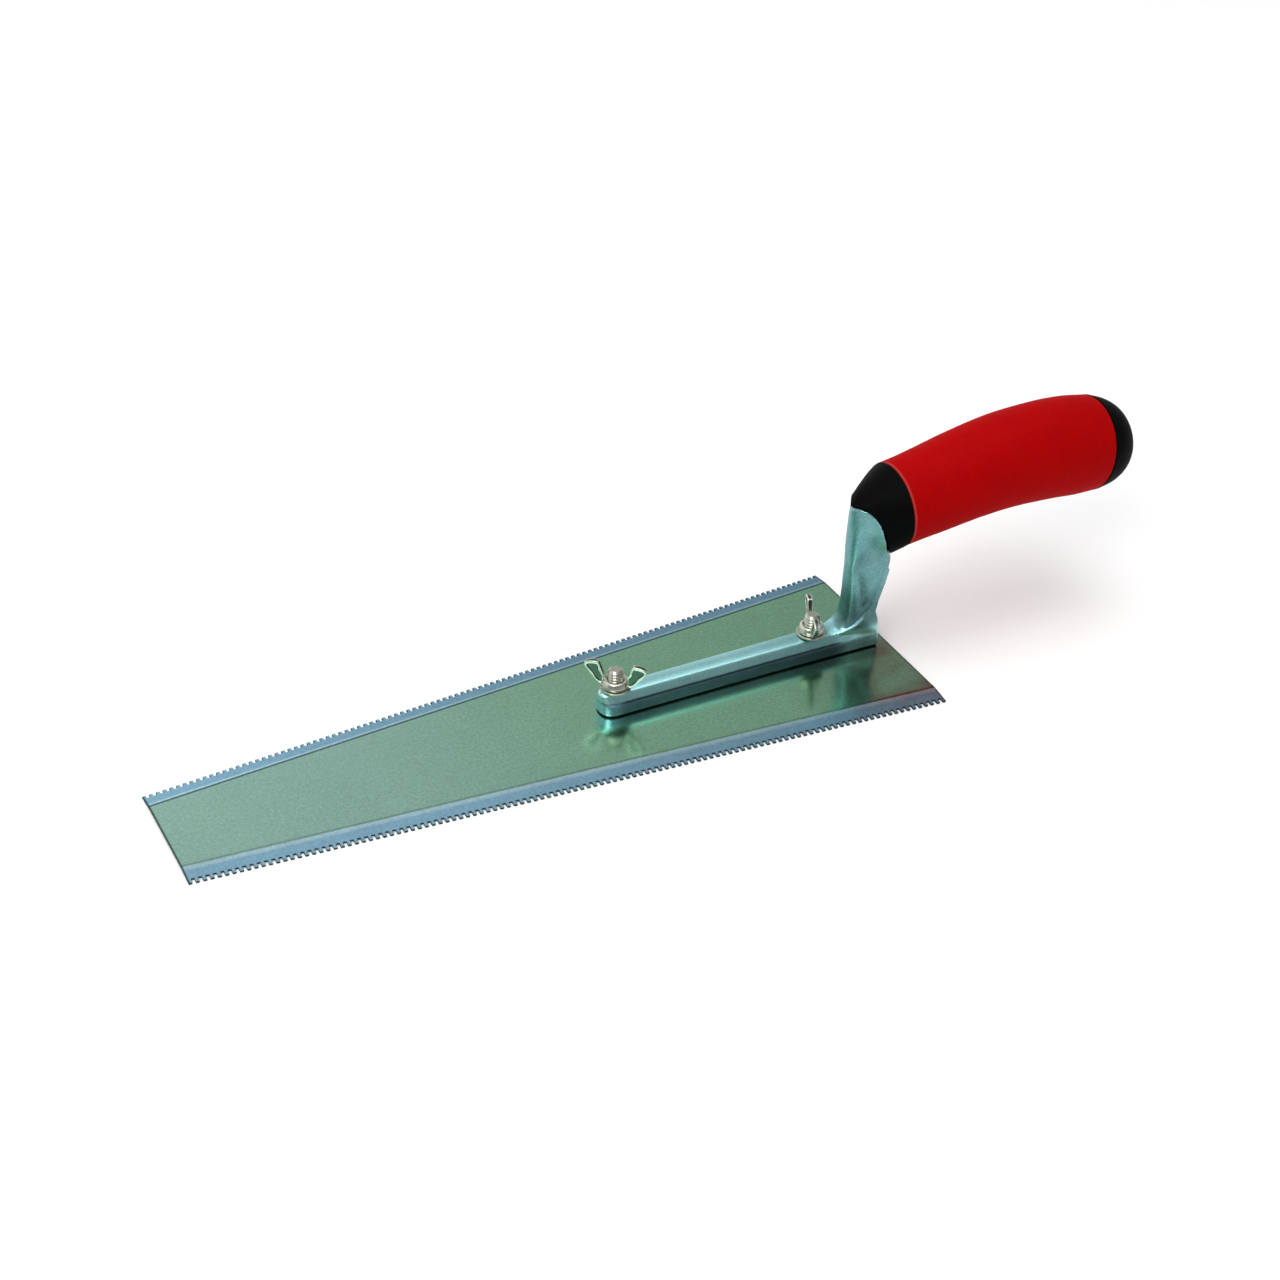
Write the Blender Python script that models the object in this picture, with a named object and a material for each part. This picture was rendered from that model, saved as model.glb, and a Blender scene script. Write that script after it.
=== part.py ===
"""Notched trowel: blade, cast mount, clamp bolts with wing nuts, and handle."""
import math

import bmesh
import bpy
from mathutils import Matrix, Vector

# Driving dimensions in millimetres; x runs from the heel (0) to the toe
# (negative), z starts at the upper face of the flat of the blade.
MM = 0.001
BLADE_LENGTH = 304.8
HEEL_WIDTH = 101.6
TOE_WIDTH = 54.8
SHEET = 0.8
FLANGE_WIDTH = 8.3
FLANGE_ANGLE = math.radians(8.6)
NOTCH_COUNT = 114
NOTCH_SHARE = 0.5
NOTCH_DEPTH = 2.0
TOTAL_LENGTH = 417.0
GAP = 0.3

BOLT_RADIUS = 3.175
BOLT_CHAMFER = 0.6
NECK_SIDE = 6.4
NECK_OVERLAP = 0.2
HEAD_RADIUS = 7.0
HEAD_THICKNESS = 0.8
HEAD_CHAMFER = 1.2
BOLT_TOP = 20.1
FRONT_BOLT_X = -121.9
BOLT_SPACING = 88.9
WASHER_RADIUS = 6.2
WASHER_THICKNESS = 0.6
NUT_TURNS = {"front": math.radians(-42.0), "rear": math.radians(68.0)}

BEAM_HEIGHT = 9.8
WALL_SHARE = 0.66
CROWN_SHARE = 0.6
NOSE_X = -122.4
NOSE_LENGTH = 6.8
NOSE_HALF = 6.1
NOSE_RINGS = 7
NOSE_START = 0.35
NOSE_POWER = 2.5
NOSE_DIP = 1.2
TANG_RADIUS = 5.5
TANG_CHAMFER = 1.0
TANG_BOLT_RADIUS = 3.0
TANG_HEAD_RADIUS = 5.0
TANG_HEAD_THICKNESS = 2.6
TANG_WASHER_RADIUS = 6.0
TANG_WASHER_THICKNESS = 1.0

SECTION_POINTS = 24
ROUND_POINTS = 32

DROP = FLANGE_WIDTH * math.tan(FLANGE_ANGLE)
SHIFT = Vector((TOTAL_LENGTH / 2 - (TOTAL_LENGTH - BLADE_LENGTH), 0.0, DROP + SHEET))
BUTT_X = TOTAL_LENGTH - BLADE_LENGTH
BOLT_XS = {"front": FRONT_BOLT_X, "rear": FRONT_BOLT_X + BOLT_SPACING}
WASHER_Z = BEAM_HEIGHT + GAP
NUT_Z = WASHER_Z + WASHER_THICKNESS + GAP
UP = Vector((0.0, 0.0, 1.0))

# The tang and its bolt share one straight axis through the handle.
TANG_FRONT = Vector((-8.0, 0.0, 57.0))
TANG_REAR = Vector((BUTT_X, 0.0, 66.0))
TANG_AXIS = (TANG_REAR - TANG_FRONT).normalized()
TANG_LENGTH = 44.0

# Handle sections: top point and bottom point in the middle plane, half width.
COLLAR_SECTIONS = (
    ((-18.0, 66.2), (0.8, 42.4), 11.6),
    ((-14.2, 71.0), (0.9, 42.7), 13.6),
    ((-9.8, 74.6), (1.0, 43.2), 15.4),
    ((-5.2, 77.3), (1.1, 43.8), 16.7),
    ((-0.8, 79.3), (1.4, 44.5), 17.4),
)
SLEEVE_CENTRES = (
    (0.3, 61.9, 17.4), (8.5, 63.1, 17.5), (17.2, 64.5, 17.9), (34.6, 67.6, 18.7),
    (52.5, 69.6, 19.6), (71.4, 69.6, 20.3), (84.0, 68.7, 20.5), (94.6, 67.6, 19.8),
)
BUTT_CENTRES = (
    (94.6, 67.6, 19.8), (100.2, 66.9, 18.6), (105.2, 66.4, 16.3), (108.8, 66.1, 13.1),
    (111.0, 66.0, 9.4), (111.6, 66.0, 7.2),
)
CORE_SHARE = 0.8

# Beam stations behind the nose: x, half width, rise of the crown.
BEAM_STATIONS = (
    (-113.0, 6.1, 0.0), (-60.0, 6.4, 0.0), (-26.0, 6.9, 0.0), (-18.0, 7.1, 1.2), (-12.0, 7.2, 3.4),
    (-5.0, 7.4, 6.2),
)

# Shank sections: front point, rear point, front and rear half width, squareness.
SHANK_SECTIONS = (
    ((-25.0, 6.0), (-5.2, 6.0), 5.0, 6.8, 5.0),
    ((-22.4, 10.0), (-5.2, 10.4), 5.0, 6.8, 5.0),
    ((-19.4, 14.5), (-4.8, 16.0), 4.8, 6.6, 5.0),
    ((-18.4, 22.0), (-3.8, 22.0), 4.6, 6.4, 4.5),
    ((-18.2, 32.0), (-1.6, 30.0), 4.8, 6.6, 4.0),
    ((-17.8, 44.0), (0.1, 36.5), 5.2, 7.2, 3.6),
    ((-17.4, 55.0), (0.3, 40.4), 6.8, 8.6, 2.8),
    ((-17.2, 65.2), (0.2, 43.2), 10.4, 10.4, 2.1),
)

# Wing nut: barrel heights and radii, and the outline of a wing as radius and height.
BARREL = ((0.0, 5.0), (0.4, 5.4), (1.2, 5.4), (2.8, 4.8), (3.2, 4.4))
WING_OUTLINE = (
    (3.7, 0.5), (6.2, 0.6), (8.4, 2.4), (10.4, 4.9), (12.2, 7.5), (12.6, 8.7), (12.0, 9.6),
    (9.8, 10.3), (7.6, 10.4), (6.8, 9.8), (5.8, 7.3), (4.8, 4.7), (3.7, 2.6),
)
WING_MIDDLE = (8.0, 6.0)
WING_LAYERS = ((-1.1, 0.94), (-0.8, 1.0), (0.8, 1.0), (1.1, 0.94))


def collection(name):
    """Return a new collection under the scene."""
    made = bpy.data.collections.new(name)
    bpy.context.scene.collection.children.link(made)
    return made


def material(name, colour, roughness, metallic):
    """Return a Principled material."""
    made = bpy.data.materials.new(name)
    made.use_nodes = True
    shader = made.node_tree.nodes["Principled BSDF"]
    shader.inputs["Base Color"].default_value = (*colour, 1.0)
    shader.inputs["Roughness"].default_value = roughness
    shader.inputs["Metallic"].default_value = metallic
    return made


def mesh_object(name, bm, where, origin=Vector((0.0, 0.0, 0.0))):
    """Turn a bmesh in tool millimetres into an object whose origin is given."""
    bmesh.ops.remove_doubles(bm, verts=bm.verts, dist=1e-4)
    bmesh.ops.recalc_face_normals(bm, faces=bm.faces)
    bm.transform(Matrix.Scale(MM, 4) @ Matrix.Translation(-origin))
    data = bpy.data.meshes.new(name)
    bm.to_mesh(data)
    bm.free()
    made = bpy.data.objects.new(name, data)
    made.location = (origin + SHIFT) * MM
    where.objects.link(made)
    return made


def finish(obj, paint, smooth_angle=35.0):
    """Give an object its material and smooth shading below an angle."""
    obj.data.materials.append(paint)
    obj.data.shade_smooth()
    obj.data.set_sharp_from_angle(angle=math.radians(smooth_angle))


def boolean(obj, other, operation):
    """Add an exact boolean modifier."""
    step = obj.modifiers.new(operation.title(), "BOOLEAN")
    step.operation = operation
    step.solver = "EXACT"
    step.object = other
    other.hide_render = True
    other.display_type = "WIRE"


def loft(rings):
    """Return a bmesh skin through rings of equal point count, capped at both ends."""
    bm = bmesh.new()
    rows = [[bm.verts.new(p) for p in ring] for ring in rings]
    for low, high in zip(rows, rows[1:]):
        for i in range(len(low)):
            j = (i + 1) % len(low)
            bm.faces.new((low[i], low[j], high[j], high[i]))
    bm.faces.new(rows[0][::-1])
    bm.faces.new(rows[-1])
    return bm


def tube(outer, inner):
    """Return a bmesh skin between outer and inner rings, open along the middle."""
    bm = bmesh.new()
    chain = outer + inner[::-1]
    rows = [[bm.verts.new(p) for p in ring] for ring in chain]
    for low, high in zip(rows, rows[1:] + rows[:1]):
        for i in range(len(low)):
            j = (i + 1) % len(low)
            bm.faces.new((low[i], low[j], high[j], high[i]))
    return bm


def rod(start, axis, pairs, points):
    """Return rings around an axis from pairs of distance and radius."""
    side = Vector((0.0, 1.0, 0.0))
    up = axis.cross(side)
    rings = []
    for distance, radius in pairs:
        centre = start + axis * distance
        rings.append([
            centre + side * radius * math.cos(a) + up * radius * math.sin(a)
            for a in (2 * math.pi * i / points for i in range(points))
        ])
    return rings


def oval(top, bottom, half, scale=1.0, inset=0.0):
    """Return the ring of one handle section."""
    top = Vector((top[0], 0.0, top[1]))
    bottom = Vector((bottom[0], 0.0, bottom[1]))
    centre = (top + bottom) / 2
    reach = (top - bottom) / 2
    reach = reach * scale - reach.normalized() * inset
    half = half * scale - inset
    return [
        centre + reach * math.cos(a) + Vector((0.0, half * math.sin(a), 0.0))
        for a in (2 * math.pi * i / SECTION_POINTS for i in range(SECTION_POINTS))
    ]


def round_sections(centres):
    """Return handle sections square to a centre line given as x, z and radius."""
    sections = []
    for i, (x, z, radius) in enumerate(centres):
        a = centres[max(i - 1, 0)]
        b = centres[min(i + 1, len(centres) - 1)]
        tilt = math.atan2(b[1] - a[1], b[0] - a[0])
        dx = -math.sin(tilt) * radius
        dz = math.cos(tilt) * radius
        sections.append(((x + dx, z + dz), (x - dx, z - dz), radius))
    return sections


def half_width(x):
    """Return the half width of the blade at x."""
    share = -x / BLADE_LENGTH
    return (HEEL_WIDTH + (TOE_WIDTH - HEEL_WIDTH) * share) / 2


def blade(where, cutters, paint):
    """Make the bent sheet with its two rows of notches and two square holes."""
    bm = bmesh.new()
    pitch = BLADE_LENGTH / (NOTCH_COUNT + 1 - NOTCH_SHARE)
    tooth = pitch * (1 - NOTCH_SHARE)
    xs = []
    for i in range(NOTCH_COUNT + 1):
        xs += [-i * pitch, -i * pitch - tooth]
    rows = {}
    for side in (-1, 1):
        for row, inward in (("fold", FLANGE_WIDTH), ("root", NOTCH_DEPTH), ("tip", 0.0)):
            drop = (FLANGE_WIDTH - inward) * math.tan(FLANGE_ANGLE)
            rows[side, row] = [
                [bm.verts.new((x, side * (half_width(x) - inward), -drop - t)) for x in xs]
                for t in (0.0, SHEET)
            ]
    bands = []
    for side in (-1, 1):
        bands.append((rows[side, "fold"], rows[side, "root"], False))
        bands.append((rows[side, "root"], rows[side, "tip"], True))
    bands.append((rows[-1, "fold"], rows[1, "fold"], False))
    for first, second, toothed in bands:
        for level in (0, 1):
            for i in range(0, len(xs) - 1, 2 if toothed else 1):
                a, b = first[level][i:i + 2]
                d, c = second[level][i:i + 2]
                bm.faces.new((a, b, c, d))
    edges = [e for e in bm.edges if len(e.link_faces) == 1]
    pair = {}
    for both in rows.values():
        for high, low in zip(*both):
            pair[high] = low
    for edge in edges:
        a, b = edge.verts
        if a in pair and b in pair:
            bm.faces.new((a, b, pair[b], pair[a]))
    loose = [v for v in bm.verts if not v.link_faces]
    bmesh.ops.delete(bm, geom=loose, context="VERTS")
    made = mesh_object("blade", bm, where)
    for label, x in BOLT_XS.items():
        side = NECK_SIDE + 2 * GAP
        cut = bmesh.new()
        bmesh.ops.create_cube(cut, size=1.0)
        cut.transform(Matrix.Translation((x, 0.0, 0.0)) @ Matrix.Diagonal((side, side, 6 * SHEET, 1.0)))
        boolean(made, mesh_object("blade_hole_" + label, cut, cutters), "DIFFERENCE")
    finish(made, paint, 4.0)
    return made


def beam_ring(x, half, height):
    """Return the ring of one section of the beam: walls, sloped shoulders, flat top."""
    wall = WALL_SHARE * height
    crown = CROWN_SHARE * half
    right = [
        (half, GAP), (half * 0.97, wall * 0.7), (half * 0.92, wall),
        (crown + 0.4, height * 0.96), (crown, height),
    ]
    ring = right + [(-y, z) for y, z in right[::-1]]
    return [Vector((x, y, z)) for y, z in ring]


def superoval(front, rear, front_half, rear_half, power):
    """Return the ring of one section of the shank."""
    ring = []
    for i in range(SECTION_POINTS):
        a = 2 * math.pi * i / SECTION_POINTS
        u = math.copysign(abs(math.cos(a)) ** (2 / power), math.cos(a))
        v = math.copysign(abs(math.sin(a)) ** (2 / power), math.sin(a))
        share = (u + 1) / 2
        half = front_half + (rear_half - front_half) * share
        x = front[0] + (rear[0] - front[0]) * share
        z = front[1] + (rear[1] - front[1]) * share
        ring.append(Vector((x, half * v, z)))
    return ring


def mount(where, cutters, paint):
    """Make the casting: beam, nose, shank and tang in one solid."""
    rings = []
    for i in range(NOSE_RINGS):
        a = math.pi / 2 * (i + NOSE_START) / (NOSE_RINGS - 1 + NOSE_START)
        reach = math.sin(a) ** (2 / NOSE_POWER)
        x = NOSE_X - NOSE_LENGTH * math.cos(a) ** (2 / NOSE_POWER)
        rings.append(beam_ring(x, NOSE_HALF * reach, BEAM_HEIGHT - NOSE_DIP * (1 - reach) ** 2))
    for x, half, rise in BEAM_STATIONS:
        rings.append(beam_ring(x, half, BEAM_HEIGHT + rise))
    made = mesh_object("mount_casting", loft(rings), where)

    body = mesh_object("mount_shank", loft([superoval(*s) for s in SHANK_SECTIONS]), cutters)
    boolean(made, body, "UNION")
    pairs = (
        (-5.0, TANG_RADIUS), (TANG_LENGTH - TANG_CHAMFER, TANG_RADIUS),
        (TANG_LENGTH, TANG_RADIUS - TANG_CHAMFER),
    )
    tang = mesh_object("mount_tang", loft(rod(TANG_FRONT, TANG_AXIS, pairs, SECTION_POINTS)), cutters)
    boolean(made, tang, "UNION")
    pairs = ((TANG_LENGTH - 20.0, TANG_BOLT_RADIUS + GAP), (TANG_LENGTH + 5.0, TANG_BOLT_RADIUS + GAP))
    socket = mesh_object("mount_socket", loft(rod(TANG_FRONT, TANG_AXIS, pairs, SECTION_POINTS)), cutters)
    boolean(made, socket, "DIFFERENCE")
    for label, x in BOLT_XS.items():
        foot = Vector((x, 0.0, -5.0))
        pairs = ((0.0, BOLT_RADIUS + GAP), (30.0, BOLT_RADIUS + GAP))
        cut = loft(rod(foot, UP, pairs, ROUND_POINTS))
        hole = mesh_object("mount_hole_" + label, cut, cutters)
        boolean(made, hole, "DIFFERENCE")
    finish(made, paint)
    return made


def blade_bolt(label, where, cutters, paint):
    """Make one clamp bolt: thin head under the blade, square neck, threaded shank."""
    x = BOLT_XS[label]
    foot = Vector((x, 0.0, -SHEET - GAP))
    reach = BOLT_TOP + SHEET + GAP
    pairs = (
        (-HEAD_THICKNESS, HEAD_RADIUS - HEAD_CHAMFER), (-0.4 * HEAD_THICKNESS, HEAD_RADIUS),
        (0.0, HEAD_RADIUS), (0.01, BOLT_RADIUS), (reach - BOLT_CHAMFER, BOLT_RADIUS),
        (reach, BOLT_RADIUS - BOLT_CHAMFER),
    )
    shape = loft(rod(foot, UP, pairs, ROUND_POINTS))
    made = mesh_object(label + "_blade_bolt", shape, where, Vector((x, 0.0, 0.0)))
    neck = bmesh.new()
    bmesh.ops.create_cube(neck, size=1.0)
    height = SHEET + GAP + NECK_OVERLAP
    size = Matrix.Diagonal((NECK_SIDE, NECK_SIDE, height, 1.0))
    neck.transform(Matrix.Translation((x, 0.0, -SHEET - GAP - NECK_OVERLAP + height / 2)) @ size)
    boolean(made, mesh_object(label + "_neck", neck, cutters), "UNION")
    finish(made, paint)
    return made


def washer(name, start, axis, hole, radius, thickness, where, paint):
    """Make a flat washer around an axis."""
    outer = rod(start, axis, ((0.0, radius), (thickness, radius)), ROUND_POINTS)
    inner = rod(start, axis, ((0.0, hole), (thickness, hole)), ROUND_POINTS)
    made = mesh_object(name, tube(outer, inner), where, start)
    finish(made, paint)
    return made


def wing_nut(label, where, cutters, paint):
    """Make one wing nut on its bolt axis, turned about it."""
    base = Vector((BOLT_XS[label], 0.0, NUT_Z))
    made = mesh_object(label + "_wing_nut", loft(rod(base, UP, BARREL, SECTION_POINTS)), where, base)
    middle_r, middle_z = WING_MIDDLE
    for side in (0, 1):
        spin = Matrix.Rotation(NUT_TURNS[label] + math.pi * side, 4, "Z")
        rings = []
        for y, scale in WING_LAYERS:
            ring = []
            for r, z in WING_OUTLINE:
                point = Vector((middle_r + (r - middle_r) * scale, y, middle_z + (z - middle_z) * scale))
                ring.append(base + spin @ point)
            rings.append(ring)
        wing = mesh_object("%s_wing_%d" % (label, side), loft(rings), cutters)
        boolean(made, wing, "UNION")
    pairs = ((-5.0, BOLT_RADIUS + GAP), (20.0, BOLT_RADIUS + GAP))
    hole = mesh_object(label + "_nut_hole", loft(rod(base, UP, pairs, SECTION_POINTS)), cutters)
    boolean(made, hole, "DIFFERENCE")
    finish(made, paint)
    return made


def handle(where, cutters, plastic, rubber, steel):
    """Make the collar, core, sleeve, butt cap and the bolt that holds them."""
    sleeve = round_sections(SLEEVE_CENTRES)
    butt = round_sections(BUTT_CENTRES)
    sleeve[0] = COLLAR_SECTIONS[-1]
    sleeve[-1] = butt[0]

    bore_pairs = ((-20.0, TANG_RADIUS + GAP), (TANG_LENGTH + 2.0, TANG_RADIUS + GAP))
    bolt_pairs = ((0.0, TANG_BOLT_RADIUS + GAP), (180.0, TANG_BOLT_RADIUS + GAP))

    def bore(obj, label, pairs):
        cut = loft(rod(TANG_FRONT, TANG_AXIS, pairs, SECTION_POINTS))
        boolean(obj, mesh_object(label, cut, cutters), "DIFFERENCE")

    front = [oval(*s) for s in COLLAR_SECTIONS]
    shift = Vector((GAP, 0.0, GAP))
    front[0] = [p + shift for p in front[0]]
    collar = mesh_object("front_collar", loft(front), where)
    bore(collar, "collar_bore", bore_pairs)
    finish(collar, plastic["collar"])

    back = Vector((GAP, 0.0, 0.0))
    inner = [oval(*s, CORE_SHARE) for s in sleeve]
    inner[0] = [p + back for p in inner[0]]
    core = mesh_object("handle_core", loft(inner), where)
    bore(core, "core_tang_bore", bore_pairs)
    bore(core, "core_bolt_bore", bolt_pairs)
    finish(core, plastic["core"])

    outer = [oval(*s) for s in sleeve]
    inside = [oval(*s, CORE_SHARE, -GAP) for s in sleeve]
    for rings in (outer, inside):
        rings[0] = [p + back for p in rings[0]]
    grip = mesh_object("grip_sleeve", tube(outer, inside), where)
    finish(grip, rubber)

    rings = [oval(*s) for s in butt]
    rings[0] = [p + back for p in rings[0]]
    cap = mesh_object("butt_cap", loft(rings), where)
    bore(cap, "cap_bolt_bore", bolt_pairs)
    length = (TANG_REAR - TANG_FRONT).length
    seat = length - TANG_HEAD_THICKNESS - TANG_WASHER_THICKNESS - 2 * GAP
    pocket = TANG_WASHER_RADIUS + GAP
    bore(cap, "cap_head_pocket", ((seat, pocket), (length + 9.0, pocket)))
    finish(cap, plastic["cap"])

    start = TANG_FRONT + TANG_AXIS * (seat + GAP)
    washer("tang_washer", start, TANG_AXIS, TANG_BOLT_RADIUS + GAP, TANG_WASHER_RADIUS,
           TANG_WASHER_THICKNESS, where, steel["tang_washer"])
    head = length - TANG_HEAD_THICKNESS
    pairs = (
        (TANG_LENGTH - 18.0, TANG_BOLT_RADIUS - 0.6), (TANG_LENGTH - 17.4, TANG_BOLT_RADIUS),
        (head - 0.01, TANG_BOLT_RADIUS), (head, TANG_HEAD_RADIUS), (head + 1.3, TANG_HEAD_RADIUS),
        (head + 2.1, TANG_HEAD_RADIUS * 0.8), (length - 0.2, TANG_HEAD_RADIUS * 0.5),
    )
    bolt = mesh_object("tang_bolt", loft(rod(TANG_FRONT, TANG_AXIS, pairs, SECTION_POINTS)), where)
    finish(bolt, steel["tang_bolt"])


def main():
    """Build every piece in the shared frame."""
    for old in list(bpy.data.objects):
        bpy.data.objects.remove(old, do_unlink=True)
    parts = collection("notched_trowel")
    cutters = collection("cutters")
    blade(parts, cutters, material("blade_steel", (0.46, 0.55, 0.5), 0.3, 1.0))
    mount(parts, cutters, material("cast_aluminium", (0.5, 0.6, 0.6), 0.42, 1.0))
    for label, x in BOLT_XS.items():
        zinc = {
            piece: material("%s_%s_zinc" % (label, piece), (0.72, 0.72, 0.68), 0.33, 1.0)
            for piece in ("bolt", "washer", "nut")
        }
        blade_bolt(label, parts, cutters, zinc["bolt"])
        washer(label + "_washer", Vector((x, 0.0, WASHER_Z)), UP, BOLT_RADIUS + GAP, WASHER_RADIUS,
               WASHER_THICKNESS, parts, zinc["washer"])
        wing_nut(label, parts, cutters, zinc["nut"])
    plastic = {
        label: material(label + "_black", (0.012, 0.013, 0.015), 0.55, 0.0)
        for label in ("collar", "core", "cap")
    }
    steel = {
        label: material(label + "_zinc", (0.72, 0.72, 0.68), 0.33, 1.0)
        for label in ("tang_bolt", "tang_washer")
    }
    handle(parts, cutters, plastic, material("red_rubber", (0.62, 0.02, 0.012), 0.6, 0.0), steel)


main()
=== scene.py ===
"""Looks of the notched trowel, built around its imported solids."""

import logging
import math
from dataclasses import dataclass
from enum import Enum
from typing import Any, Optional, Sequence, Union

import bmesh
import bpy
import numpy as np
from mathutils import Matrix, Vector


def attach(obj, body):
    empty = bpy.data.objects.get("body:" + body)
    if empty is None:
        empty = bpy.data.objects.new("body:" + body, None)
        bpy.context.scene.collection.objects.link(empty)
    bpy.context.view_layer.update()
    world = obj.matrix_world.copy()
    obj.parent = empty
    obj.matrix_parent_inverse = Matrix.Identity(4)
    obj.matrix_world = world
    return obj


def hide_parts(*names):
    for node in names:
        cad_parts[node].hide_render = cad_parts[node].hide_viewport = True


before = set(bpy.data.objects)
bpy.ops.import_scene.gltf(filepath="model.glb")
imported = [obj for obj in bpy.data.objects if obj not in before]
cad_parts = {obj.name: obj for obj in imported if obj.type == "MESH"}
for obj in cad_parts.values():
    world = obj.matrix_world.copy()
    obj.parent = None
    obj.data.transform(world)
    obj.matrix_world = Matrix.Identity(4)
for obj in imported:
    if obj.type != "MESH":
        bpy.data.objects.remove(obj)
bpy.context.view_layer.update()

LOG = logging.getLogger("notched_trowel")
IMAGE_PIXELS = 1280
SENSOR_MM = 36.0
MM = 0.001
WELD = 2e-7
HAIR = 0.05
UP = (0.0, 0.0, 1.0)

Colour = tuple[float, float, float]
Triple = tuple[float, float, float]
Rows = tuple[tuple[float, ...], ...]
Profile = Sequence[tuple[float, float]]
Settings = Optional[dict[str, Any]]
Piece = bpy.types.Object
Material = bpy.types.Material
Mesh = bpy.types.Mesh
Number = Union[float, "Field"]


class Body(Enum):
    """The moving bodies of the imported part."""

    TOOL = "tool_body"
    FRONT_WASHER = "front_washer_body"
    FRONT_NUT = "front_nut_body"
    REAR_WASHER = "rear_washer_body"
    REAR_NUT = "rear_nut_body"


class Station(Enum):
    """The two clamp stations along the mount."""

    FRONT = "front"
    REAR = "rear"


# Node trees

class Field:
    """A value in a node tree that Python arithmetic extends with Math nodes."""

    def __init__(self, graph: "Graph", socket: bpy.types.NodeSocket) -> None:
        """Keep the tree and the output socket."""
        self.graph = graph
        self.socket = socket

    def math(self, operation: str, *others: Number, swap: bool = False) -> "Field":
        """Add one Math node.

        Args:
            operation: The Math node's operation.
            others: The further operands.
            swap: Whether the operands stand in reverse order.

        Returns:
            The node's result.
        """
        values = [self, *others]
        if swap:
            values.reverse()
        return self.graph.field("ShaderNodeMath", {"operation": operation}, dict(enumerate(values)))

    def __add__(self, other: Number) -> "Field":
        """Return self + other."""
        return self.math("ADD", other)

    __radd__ = __add__

    def __sub__(self, other: Number) -> "Field":
        """Return self - other."""
        return self.math("SUBTRACT", other)

    def __rsub__(self, other: Number) -> "Field":
        """Return other - self."""
        return self.math("SUBTRACT", other, swap=True)

    def __mul__(self, other: Number) -> "Field":
        """Return self * other."""
        return self.math("MULTIPLY", other)

    __rmul__ = __mul__

    def __truediv__(self, other: Number) -> "Field":
        """Return self / other."""
        return self.math("DIVIDE", other)

    def __lt__(self, other: Number) -> "Field":
        """Return 1 where self is below other, else 0."""
        return self.math("LESS_THAN", other)

    def least(self, other: Number) -> "Field":
        """Return the smaller of self and other."""
        return self.math("MINIMUM", other)

    def most(self, other: Number) -> "Field":
        """Return the larger of self and other."""
        return self.math("MAXIMUM", other)

    def span(self, low: Number, high: Number, start: Number = 0.0, end: Number = 1.0,
             smooth: bool = False) -> "Field":
        """Map a range of self onto another range, held at its ends.

        Args:
            low: Value that maps to start.
            high: Value that maps to end.
            start: Result at low.
            end: Result at high.
            smooth: Whether the ramp eases in and out.

        Returns:
            The mapped value.
        """
        kind = "SMOOTHSTEP" if smooth else "LINEAR"
        inputs = {"Value": self, "From Min": low, "From Max": high, "To Min": start, "To Max": end}
        settings = {"interpolation_type": kind, "clamp": True}
        return self.graph.field("ShaderNodeMapRange", settings, inputs)

    def ease(self, low: Number, high: Number, start: Number = 0.0, end: Number = 1.0) -> "Field":
        """Return span with a ramp that eases in and out."""
        return self.span(low, high, start, end, True)


class Graph:
    """Adds nodes to one node tree."""

    def __init__(self, tree: bpy.types.NodeTree) -> None:
        """Keep the tree."""
        self.tree = tree

    def node(self, kind: str, settings: Settings = None,
             inputs: Optional[dict[Any, Any]] = None) -> bpy.types.Node:
        """Add one node.

        Args:
            kind: The node's type.
            settings: Its settings, which are set first.
            inputs: Values or links by socket name or index.

        Returns:
            The node.
        """
        made = self.tree.nodes.new(kind)
        for key, value in (settings or {}).items():
            setattr(made, key, value)
        for key, value in (inputs or {}).items():
            self.feed(made.inputs[key], value)
        return made

    def feed(self, socket: bpy.types.NodeSocket, value: Any) -> None:
        """Link or set one input socket.

        Args:
            socket: The input.
            value: A Field, an output socket or a plain value.
        """
        if isinstance(value, Field):
            self.tree.links.new(value.socket, socket)
        elif isinstance(value, bpy.types.NodeSocket):
            self.tree.links.new(value, socket)
        elif isinstance(value, (tuple, list)) and socket.type == "RGBA" and len(value) == 3:
            socket.default_value = (*value, 1.0)
        else:
            socket.default_value = value

    def field(self, kind: str, settings: Settings = None,
              inputs: Optional[dict[Any, Any]] = None, output: Any = 0) -> Field:
        """Add one node and return one of its outputs.

        Args:
            kind: The node's type.
            settings: Its settings.
            inputs: Values or links by socket name or index.
            output: Name or index of the output.

        Returns:
            That output.
        """
        return Field(self, self.node(kind, settings, inputs).outputs[output])

    def axes(self, vector: Field) -> tuple[Field, Field, Field]:
        """Split a vector.

        Args:
            vector: The vector.

        Returns:
            Its three parts.
        """
        split = self.node("ShaderNodeSeparateXYZ", None, {0: vector})
        return tuple(Field(self, out) for out in split.outputs)


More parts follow.
